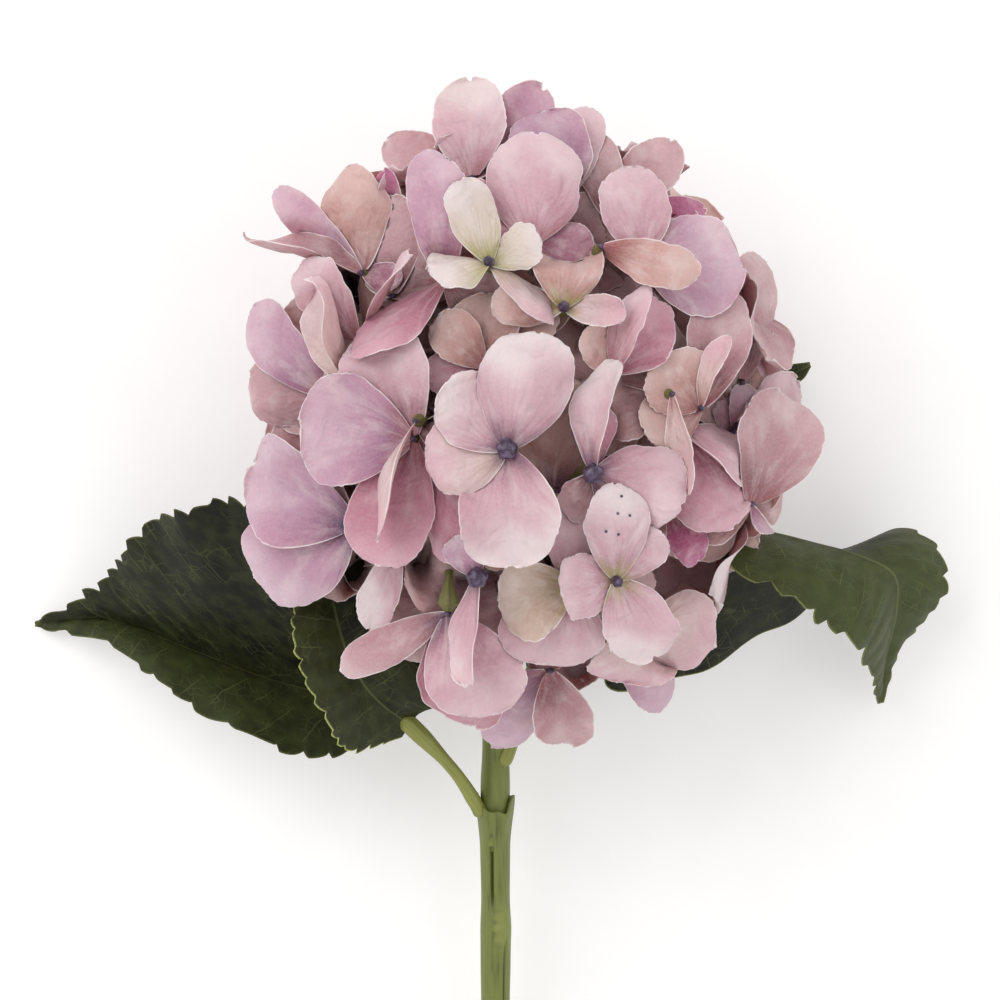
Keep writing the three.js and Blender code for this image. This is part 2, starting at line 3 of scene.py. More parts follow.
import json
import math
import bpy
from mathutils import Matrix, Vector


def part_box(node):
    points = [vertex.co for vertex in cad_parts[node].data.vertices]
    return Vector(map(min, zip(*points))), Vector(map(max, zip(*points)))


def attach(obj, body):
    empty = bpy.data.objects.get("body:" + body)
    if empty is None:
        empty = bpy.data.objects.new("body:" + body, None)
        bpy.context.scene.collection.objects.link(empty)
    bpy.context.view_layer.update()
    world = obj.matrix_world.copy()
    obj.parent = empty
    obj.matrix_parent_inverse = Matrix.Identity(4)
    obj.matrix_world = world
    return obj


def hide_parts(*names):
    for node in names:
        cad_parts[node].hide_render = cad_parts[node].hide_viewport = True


bl_info = {
    "name": "Cut Hydrangea",
    "version": (1, 0, 0),
    "blender": (4, 5, 0),
    "location": "View3D > Sidebar > Hydrangea",
    "description": "Models and shades an artificial hydrangea stem over its frame",
    "category": "Object",
}

from functools import partial

import bpy
import numpy as np
from bpy.props import FloatProperty, FloatVectorProperty, PointerProperty
from bpy.types import Operator, Panel, PropertyGroup

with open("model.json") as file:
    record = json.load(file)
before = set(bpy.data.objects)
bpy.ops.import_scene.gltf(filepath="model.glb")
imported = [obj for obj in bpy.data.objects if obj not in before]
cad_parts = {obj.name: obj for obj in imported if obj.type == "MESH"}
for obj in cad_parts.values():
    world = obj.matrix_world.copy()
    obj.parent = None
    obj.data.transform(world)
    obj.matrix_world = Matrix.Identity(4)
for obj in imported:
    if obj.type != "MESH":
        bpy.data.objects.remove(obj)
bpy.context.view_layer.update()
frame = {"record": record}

MM = 0.001


# ---- Where things are: the maker's own drawing, in millimetres, laid over the frame ----
# +Y runs from the cut end to the top of the head and +Z up from the table.

HEAD_CENTRE = np.array([7.5, 20.0, 62.0])
HALF_HEAD = np.array([72.0, 84.0, 62.0])  # half its width, length and depth
EYE_DEPTH = 0.84  # the flowers' eyes lie this far out from the middle of the head
CUT_END = np.array([-1.5, -225.0, 3.8])
FORK_POINT = HEAD_CENTRE * [0, 1, 0.72] + [2, -0.45 * HALF_HEAD[1], 0]
HEAD_FOOT = np.array([-1.0, -62.0, 0.56 * HEAD_CENTRE[2]])

STEM_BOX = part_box("lower_stem")
DRAWN_STEM_MIDDLE, DRAWN_STEM_END = -1.21, -225.2
ORIGIN = np.array([
    (STEM_BOX[0][0] + STEM_BOX[1][0]) / 2 / MM - DRAWN_STEM_MIDDLE,
    STEM_BOX[0][1] / MM - DRAWN_STEM_END,
    0.0,
])


def unit(vectors):
    """The same vectors, one long."""
    vectors = np.asarray(vectors, float)
    return vectors / np.maximum(np.linalg.norm(vectors, axis=-1, keepdims=True), 1e-9)


def smooth(low, high, x):
    """Rises from 0 to 1 between low and high with no corner."""
    t = np.clip((np.asarray(x, float) - low) / (high - low), 0, 1)
    return t * t * (3 - 2 * t)


def turned(vector, axis, degrees):
    """The vector turned about an axis."""
    a = math.radians(degrees)
    along = axis * np.dot(axis, vector)
    return along + (vector - along) * math.cos(a) + np.cross(axis, vector) * math.sin(a)


def through(points, t):
    """Points of the smooth curve through the given ones, at t from 0 to 1, with as much for each span."""
    p = np.asarray(points, float)
    p = np.vstack([2 * p[0] - p[1], p, 2 * p[-1] - p[-2]])
    place = np.clip(np.asarray(t, float), 0, 1) * (len(p) - 3)
    i = np.minimum(place.astype(int), len(p) - 4)
    w = (place - i)[:, None]
    a, b, c, d = p[i], p[i + 1], p[i + 2], p[i + 3]
    spans = ((a, b), (b, c), (c, d))
    gap = [np.sqrt(np.linalg.norm(far - near, axis=1, keepdims=True)) for near, far in spans]
    start = ((b - a) / gap[0] - (c - a) / (gap[0] + gap[1]) + (c - b) / gap[1]) * gap[1]
    end = ((c - b) / gap[1] - (d - b) / (gap[1] + gap[2]) + (d - c) / gap[2]) * gap[1]
    return b + start * w + (3 * (c - b) - 2 * start - end) * w**2 + (2 * (b - c) + start + end) * w**3


class Course:
    """A smooth curve measured along its length, with a frame that doesn't twist."""

    def __init__(self, points):
        self.points = through(points, np.linspace(0, 1, 400))
        steps = np.linalg.norm(np.diff(self.points, axis=0), axis=1)
        self.reach = np.concatenate([[0], np.cumsum(steps)])
        self.length = self.reach[-1]
        self.along = unit(np.gradient(self.points, axis=0))
        normal = np.array([0, 0, 1.0])
        if abs(np.dot(normal, self.along[0])) > 0.9:
            normal = np.array([1.0, 0, 0])
        normals = []
        for along in self.along:
            normal = unit(normal - along * np.dot(along, normal))
            normals.append(normal)
        self.up = np.array(normals)
        self.side = np.cross(self.along, self.up)

    def read(self, table, reach):
        """Reads points, up or side at these distances along the curve."""
        return np.stack([np.interp(reach, self.reach, table[:, k]) for k in range(3)], axis=-1)

    def at(self, reach):
        """The point at this distance along the curve."""
        return self.read(self.points, reach)


# ---- Mesh making ----

def link(name, verts, faces, materials, face_materials=None, attributes=None, sharp=50):
    """Makes a mesh object in metres from points in millimetres of the drawing."""
    mesh = bpy.data.meshes.new(name)
    mesh.from_pydata(((verts + ORIGIN) * MM).tolist(), [], [list(map(int, f)) for f in faces])
    for material in materials:
        mesh.materials.append(material)
    mesh.polygons.foreach_set("use_smooth", [True] * len(mesh.polygons))
    if face_materials is not None:
        mesh.polygons.foreach_set("material_index", face_materials)
    kinds = {1: ("FLOAT", "value"), 3: ("FLOAT_VECTOR", "vector"), 4: ("FLOAT_COLOR", "color")}
    for key, values in (attributes or {}).items():
        values = np.asarray(values, float)
        kind, field = kinds[1 if values.ndim == 1 else values.shape[1]]
        mesh.attributes.new(key, kind, "POINT").data.foreach_set(field, values.ravel())
    mesh.update()
    mesh.set_sharp_from_angle(angle=math.radians(sharp))
    obj = bpy.data.objects.new(name, mesh)
    bpy.context.scene.collection.objects.link(obj)
    return obj


def hand_over(obj, slot, *nodes):
    """Ties a finished piece to the frame."""
    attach(obj, "root")
    if nodes:
        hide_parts(*nodes)


class Heap:
    """Collects several small meshes that make one piece."""

    def __init__(self):
        self.verts, self.faces, self.marks, self.attributes, self.count = [], [], [], {}, 0

    def add(self, verts, faces, mark=0, **attributes):
        """Adds a mesh whose faces all have the material of this number."""
        self.verts.append(verts)
        self.faces += [[i + self.count for i in face] for face in faces]
        self.marks += [mark] * len(faces)
        for key, values in attributes.items():
            self.attributes.setdefault(key, []).append(np.asarray(values, float))
        self.count += len(verts)

    def link(self, name, materials):
        """Makes one object of all that was added."""
        joined = {key: np.concatenate(values) for key, values in self.attributes.items()}
        return link(name, np.concatenate(self.verts), self.faces, materials, self.marks, joined)


def grid_faces(rows, columns):
    """Quads of a grid, facing the side from which the columns run right as the rows run up."""
    index = np.arange(rows * columns).reshape(rows, columns)
    quads = np.stack([index[:-1, :-1], index[:-1, 1:], index[1:, 1:], index[1:, :-1]], axis=-1)
    return quads.reshape(-1, 4)


def sheet(middle, thickness):
    """Closes a grid of points into a thin body. Returns its points and faces, upper skin first."""
    rows, columns = middle.shape[:2]
    across = np.gradient(middle, axis=1)
    along = np.gradient(middle, axis=0)
    normal = unit(np.cross(across, along))
    half = np.asarray(thickness)[..., None] / 2 * np.ones((rows, columns, 1))
    verts = np.concatenate([(middle + normal * half).reshape(-1, 3), (middle - normal * half).reshape(-1, 3)])
    total = rows * columns
    upper = grid_faces(rows, columns)
    index = np.arange(total).reshape(rows, columns)
    edge = np.concatenate([index[0], index[1:, -1], index[-1, -2::-1], index[-2:0:-1, 0]])
    after = np.roll(edge, -1)
    rim = np.stack([after, edge, edge + total, after + total], axis=-1)
    return verts, np.concatenate([upper, upper[:, ::-1] + total, rim]).tolist()


def ring_faces(rings, sides):
    """Faces that join rings of points into a closed body, with a cap at each end."""
    index = np.arange(rings * sides).reshape(rings, sides)
    after = np.roll(index, -1, axis=1)
    quads = np.stack([index[:-1], after[:-1], after[1:], index[1:]], axis=-1).reshape(-1, 4).tolist()
    return quads + [index[0][::-1].tolist(), index[-1].tolist()]


def round_angles(sides):
    """The angles of a ring's points, as one row."""
    return np.linspace(0, 2 * math.pi, sides, endpoint=False)[None, :]


def tube(course, reach, radii):
    """A tube of rings. reach and radii give each ring's place and radius at every angle round it."""
    reach = np.broadcast_to(reach, radii.shape)
    angle = round_angles(radii.shape[1])
    verts = course.read(course.points, reach)
    verts = verts + course.read(course.up, reach) * (radii * np.cos(angle))[..., None]
    verts = verts + course.read(course.side, reach) * (radii * np.sin(angle))[..., None]
    return verts.reshape(-1, 3), ring_faces(*radii.shape)


def rounded(radius, near_end, roundness, least):
    """The radii of a rod that narrows to a rounded end, by how far each ring is from the nearer end."""
    return radius * np.sqrt(np.clip(near_end / (roundness * radius) + least, least, 1))


def round_tube(course, radius, sides, rings):
    """A stalk with rounded ends. radius may be one number or one for each ring."""
    share = np.linspace(0, 1, rings)
    near_end = np.minimum(share, 1 - share) * course.length
    body = rounded(np.asarray(radius) * np.ones(rings), near_end, 0.5, 0.15)
    return tube(course, (share * course.length)[:, None], np.repeat(body[:, None], sides, axis=1))


def bead(centre, facing, length, width, lobes=4):
    """A small ovoid with shallow lobes, standing along facing."""
    rings, sides = 11, 16
    lobe_depth = 0.1
    rise = np.linspace(-1, 1, rings)[:, None]
    angle = round_angles(sides)
    lobed = 1 + lobe_depth * np.cos(lobes * angle) * (rise > -0.2)
    radius = width / 2 * np.sqrt(np.clip(1.02 - rise**2, 0, 1)) * lobed
    axis = unit(facing)
    side = unit(np.cross(axis, [0.3, 1, 0.2]))
    other = np.cross(axis, side)
    verts = centre + axis * (rise * length / 2)[..., None] * np.ones((1, sides, 1))
    verts = verts + side * (radius * np.cos(angle))[..., None] + other * (radius * np.sin(angle))[..., None]
    return verts.reshape(-1, 3), ring_faces(rings, sides)


# ---- Colour and materials ----

def linear(hex_colour):
    """An sRGB hex colour as linear red, green, blue and 1."""
    parts = [int(hex_colour[i:i + 2], 16) / 255 for i in (1, 3, 5)]
    return tuple(c / 12.92 if c <= 0.04045 else ((c + 0.055) / 1.055) ** 2.4 for c in parts) + (1.0,)


def node(tree, kind, inputs=(), **settings):
    """Adds a shader node with its settings and returns its outputs. Inputs are given by name or in order,
    each a number, a colour or another node's output."""
    made = tree.nodes.new(f"ShaderNode{kind}")
    for key, value in settings.items():
        setattr(made, key, value)
    for key, value in inputs.items() if isinstance(inputs, dict) else enumerate(inputs):
        if isinstance(value, bpy.types.NodeSocket):
            tree.links.new(value, made.inputs[key])
        else:
            made.inputs[key].default_value = value
    return made.outputs


SMOOTH = {"interpolation_type": "SMOOTHSTEP"}
OF_COLOURS = {"data_type": "RGBA"}  # a Mix node then takes its share, first and second from inputs 0, 6 and 7


def new_material(name, **fixed):
    """A material with one Principled shader, its plain values set on the shader itself. Returns the material,
    what adds a node to it and what links outputs to its shader."""
    material = bpy.data.materials.new(name)
    material.use_nodes = True
    tree = material.node_tree
    shader = tree.nodes["Principled BSDF"]
    for key, value in fixed.items():
        shader.inputs[key.replace("_", " ")].default_value = value

    def wear(**outputs):
        for key, output in outputs.items():
            tree.links.new(output, shader.inputs[key.replace("_", " ")])

    return material, partial(node, tree), wear


def layered(add, colour, *layers):
    """Lays tones over a colour. As a value goes from one number to another, its tone's share of the colour
    goes from the least to the most."""
    for value, low, high, least, most, tone in layers:
        share = add("MapRange", [value, low, high, least, most], **SMOOTH)[0]
        colour = add("Mix", {0: share, 6: colour, 7: linear(tone)}, **OF_COLOURS)[2]
    return colour


# Real sizes of the patterns in the finishes, in millimetres.
SLUB = 0.7143  # of the satin: coarser than its thread, so that it shows
CREASE = 7.143  # from one soft handling crease to the next
DYE_POOL = 1.4286  # where dye gathered on a bead
PLASTIC_GRAIN = 1.1111
STREAK_WIDTH = 1.1111  # of the melt in moulded green plastic
STREAK_STRETCH = 0.09  # its width over its length
COAT_PATCH = 4.5455  # of the leaf's resin
VEIN_MESH = 3.3333  # across one cell of the leaf's finest veins
VEIN_PATCH = 8.3333  # over which those veins come and go
CUT_RAGGEDNESS = 0.9091
LEAF_WEAVE = 0.4545  # coarser than the cloth's thread, so that it shows
FLOOR_GRAIN = 16.667


def satin_petal(settings):
    """Polyester satin, dyed by hand, starched and die-cut: a soft sheen, faint radiating veins pressed in by
    the mould, and a paler rim where the cut shows undyed threads."""
    material, add, wear = new_material(
        "petal_polyester_satin_pressed", Roughness=0.62, Sheen_Weight=0.18, Sheen_Roughness=0.45,
        Subsurface_Weight=0.22, Subsurface_Scale=0.0022, Subsurface_Radius=(1.0, 0.45, 0.4),
        Specular_IOR_Level=0.3,
    )
    dye = add("Attribute", attribute_name="dye")["Color"]
    rim = add("Attribute", attribute_name="rim")["Fac"]
    fan = add("Attribute", attribute_name="fan")["Vector"]
    cells = add("TexCoord")["Object"]
    fan_parts = add("SeparateXYZ", [fan])

    # the veins fan out from the root, about 1.5 mm apart half way up, and fade towards the tip
    drift = add("TexNoise", {"Vector": fan, "Scale": 2.6, "Detail": 2.0})["Fac"]
    stray = add("Math", [drift, 7.0], operation="MULTIPLY")[0]
    turn = add("Math", [fan_parts["X"], 24.0, stray], operation="MULTIPLY_ADD")[0]
    wave = add("Math", [turn], operation="SINE")[0]
    ridge = add("Math", [wave], operation="ABSOLUTE")[0]
    vein = add("Math", [ridge, 7.0], operation="POWER")[0]
    low = add("MapRange", [fan_parts["Y"], 0.9, 0.25], **SMOOTH)[0]
    shown = add("Math", [low, 0.11], operation="MULTIPLY")[0]
    veined = add("Math", [vein, shown], operation="MULTIPLY")[0]
    colour = add("Mix", {0: veined, 6: dye, 7: linear("#9c6478")}, **OF_COLOURS)[2]

    # hand dyeing left it cloudy, in patches of about 5 mm, and the slubs took less dye
    cloud = add("TexNoise", {"Vector": fan, "Scale": 3.4, "Detail": 3.0})["Fac"]
    slub = add("TexNoise", {"Vector": cells, "Scale": 1 / (SLUB * MM), "Detail": 2.0})["Fac"]
    colour = layered(
        add, colour,
        (cloud, 0.42, 0.75, 0.0, 0.28, "#efe0dc"),
        (slub, 0.35, 0.7, 0.0, 0.07, "#f7ecea"),
    )
    ragged = add("MapRange", [cloud, 0.36, 0.58, 0.35, 0.85], **SMOOTH)[0]
    near_cut = add("MapRange", [rim, 0.3, 0.05], **SMOOTH)[0]
    cut = add("Math", [near_cut, ragged], operation="MULTIPLY")[0]
    colour = add("Mix", {0: cut, 6: colour, 7: (*settings.rim_colour, 1.0)}, **OF_COLOURS)[2]

    # soft creases left by handling lie under the fine relief of the veins
    pressed = add("Math", [shown, 4.5], operation="MULTIPLY")[0]
    vein_height = add("Math", [vein, pressed], operation="MULTIPLY")[0]
    height = add("Math", [slub, 0.25, vein_height], operation="MULTIPLY_ADD")[0]
    creases = {"Vector": cells, "Scale": 1 / (CREASE * MM), "Detail": 2.0, "Distortion": 0.6}
    crease = add("TexNoise", creases)["Fac"]
    soft = add("Bump", {"Height": crease, "Strength": 0.55, "Distance": 0.003})[0]
    bump = add("Bump", {"Height": height, "Strength": 0.4, "Distance": 0.0005, "Normal": soft})[0]
    wear(Base_Color=colour, Normal=bump)
    return material


def moulded_bead():
    """Injection-moulded polyethylene, dipped in plum dye: dark, a little glossy, paler where it ran thin."""
    material, add, wear = new_material("bead_polyethylene_dipped", Roughness=0.38, Specular_IOR_Level=0.5)
    cells = add("TexCoord")["Object"]
    pool = add("TexNoise", {"Vector": cells, "Scale": 1 / (DYE_POOL * MM), "Detail": 3.0})["Fac"]
    colour = layered(add, linear("#3a2a3f"), (pool, 0.4, 0.72, 0.0, 1.0, "#6b5a76"))
    bump = add("Bump", {"Height": pool, "Strength": 0.3, "Distance": 0.0003})[0]
    wear(Base_Color=colour, Normal=bump)
    return material


def moulded_green(name, base, dark, pale, gloss):
    """Injection-moulded polyethylene in green: a waxy half gloss, streaked lengthwise where the melt ran,
    with painted shade darkening its grooves and a painted highlight along its ridges."""
    material, add, wear = new_material(
        name, Roughness=gloss, Specular_IOR_Level=0.45,
        Subsurface_Weight=0.12, Subsurface_Scale=0.0015, Subsurface_Radius=(0.7, 0.8, 0.3),
    )
    run = add("Attribute", attribute_name="run")["Vector"]
    relief = add("Attribute", attribute_name="relief")["Fac"]
    cells = add("TexCoord")["Object"]
    stretched = add("Mapping", {"Vector": run, "Scale": (1.0, STREAK_STRETCH, 1.0)})[0]
    streak = add("TexNoise", {"Vector": stretched, "Scale": 1 / STREAK_WIDTH, "Detail": 4.0})["Fac"]

    colour = layered(
        add, linear(dark),
        (streak, 0.2, 0.5, 0.0, 1.0, base),
        (streak, 0.5, 0.8, 0.0, 0.45, pale),
        # painted shade darkens the grooves and a painted highlight lightens the ridges, both read from the
        # relief
        (relief, 0.0, -0.6, 0.0, 0.75, dark),
        (relief, 0.1, 0.6, 0.0, 0.7, pale),
    )

    grain = add("TexNoise", {"Vector": cells, "Scale": 1 / (PLASTIC_GRAIN * MM), "Detail": 3.0})["Fac"]
    height = add("Math", [grain, 0.35, streak], operation="MULTIPLY_ADD")[0]
    bump = add("Bump", {"Height": height, "Strength": 0.35, "Distance": 0.0004})[0]
    wear(Base_Color=colour, Normal=bump)
    return material


def coated_leaf(settings):
    """Woven polyester, dipped in dark green resin and hot-pressed in a leaf mould: fine pale veins where the
    press scraped the coat thin, a leathery half gloss and a pale uncoated edge where the leaf was cut out."""
    material, add, wear = new_material(
        "leaf_polyester_resin_pressed", Roughness=0.52, Subsurface_Weight=0.06, Subsurface_Scale=0.001,
        Specular_IOR_Level=0.22,
    )
    place = add("Attribute", attribute_name="blade")["Vector"]
    rim = add("Attribute", attribute_name="rim")["Fac"]
    vein = add("SeparateXYZ", [add("Attribute", attribute_name="vein")["Vector"]])
    finish = add("SeparateXYZ", [add("Attribute", attribute_name="finish")["Vector"]])

    # the resin lies in patches, and over them each half gets its painted light and shade: lighter where the
    # lights fall on it, darker where the head shades it
    wander = add("TexNoise", {"Vector": place, "Scale": 1 / COAT_PATCH, "Detail": 2.0})
    patch = add("MapRange", [wander["Fac"], 0.35, 0.68], **SMOOTH)[0]
    painted_half_light = add("Math", [finish["X"], 0.8], operation="MULTIPLY")[0]
    # thin mixes the resin's random patches with each half's painted light and shade
    thin = add("Math", [patch, 0.3, painted_half_light], operation="MULTIPLY_ADD")[0]
    colour = add("Mix", {0: thin, 6: linear("#17180e"), 7: linear("#434a24")}, **OF_COLOURS)[2]

    # side veins are told by how many spacings along a point lies, and a net of fine ones joins them
    order = add("Math", [wander["Fac"], 0.22, vein["X"]], operation="MULTIPLY_ADD")[0]
    order = add("Math", [order], operation="FRACT")[0]
    order = add("Math", [order, 0.5], operation="SUBTRACT")[0]
    off_vein = add("Math", [order], operation="ABSOLUTE")[0]
    side_vein = add("MapRange", [off_vein, 0.035, 0.008, 0.0, 0.4], **SMOOTH)[0]
    bent = add("VectorMath", [place, wander["Color"]], operation="ADD")[0]
    net = add("TexVoronoi", {"Vector": bent, "Scale": 1 / VEIN_MESH}, feature="DISTANCE_TO_EDGE")[0]
    fine_vein = add("MapRange", [net, 0.045, 0.0, 0.0, 0.3], **SMOOTH)[0]
    lines = add("Math", [side_vein, fine_vein], operation="MAXIMUM")[0]
    coming = add("TexNoise", {"Vector": place, "Scale": 1 / VEIN_PATCH, "Detail": 2.0})["Fac"]
    patchy = add("MapRange", [coming, 0.42, 0.62, 0.05, 1.0], **SMOOTH)[0]
    lines = add("Math", [lines, patchy], operation="MULTIPLY")[0]
    middle = add("MapRange", [vein["Y"], 0.62, 0.2, 0.0, 0.5], **SMOOTH)[0]
    lines = add("Math", [lines, middle], operation="MAXIMUM")[0]
    scraped = add("Math", [lines, 0.6], operation="MULTIPLY")[0]
    colour = add("Mix", {0: scraped, 6: colour, 7: linear("#7f8455")}, **OF_COLOURS)[2]

    fibres = add("TexNoise", {"Vector": place, "Scale": 1 / CUT_RAGGEDNESS, "Detail": 2.0})["Fac"]
    ragged = add("MapRange", [fibres, 0.3, 0.55, 0.35, 1.0], **SMOOTH)[0]
    bare = add("Math", [finish["Y"], ragged], operation="MULTIPLY")[0]
    near_cut = add("MapRange", [rim, 0.5, 0.12], **SMOOTH)[0]
    cut = add("Math", [near_cut, bare], operation="MULTIPLY")[0]
    colour = add("Mix", {0: cut, 6: colour, 7: (*settings.edge_colour, 1.0)}, **OF_COLOURS)[2]

    weave = add("TexNoise", {"Vector": place, "Scale": 1 / LEAF_WEAVE, "Detail": 3.0})["Fac"]
    weave_height = add("Math", [weave, 0.35], operation="MULTIPLY")[0]
    height = add("Math", [weave_height, lines], operation="SUBTRACT")[0]
    bump = add("Bump", {"Height": height, "Strength": 0.5, "Distance": 0.0004})[0]
    wear(Base_Color=colour, Normal=bump)
    return material


# ---- Flowers ----
# Each dye is the colour at a petal's root, over its middle and at its tip.

DYES = {
    "blush": ("#b07f8c", "#c99fa9", "#d6b5bc"),
    "blush_cream": ("#b88a97", "#cca6af", "#dfcbcc"),
    "cream_blush": ("#c4a89f", "#d0b2b2", "#d3a9b2"),
    "cream": ("#b3aa82", "#d0c0b4", "#dccbca"),
    "beige": ("#a8927a", "#bba494", "#cdb7ab"),
    "lilac": ("#946680", "#b98fa3", "#cbabb9"),
    "purple": ("#79506c", "#a2778e", "#b990a3"),
    "rose": ("#93526a", "#b87c8d", "#cc9ba8"),
    "deep_rose": ("#784059", "#9a6377", "#b08090"),
    # dusty is a darker mauve: partly the petals' own dusty colour, partly painted shade for petals that lie
    # deep or turn from the lights
    "dusty": ("#84595d", "#b0868c", "#c29ea3"),
    "salmon": ("#9c6c64", "#c0958f", "#cfaca6"),
    "shade": ("#7c5655", "#a27a7b", "#b89294"),
    "magenta": ("#853a5b", "#9e4a6f", "#ae6284"),
}
THROATS = {"plum": "#573c55", "olive": "#9a9650", "rosy": "#96585f", "calyx": "#573c55"}

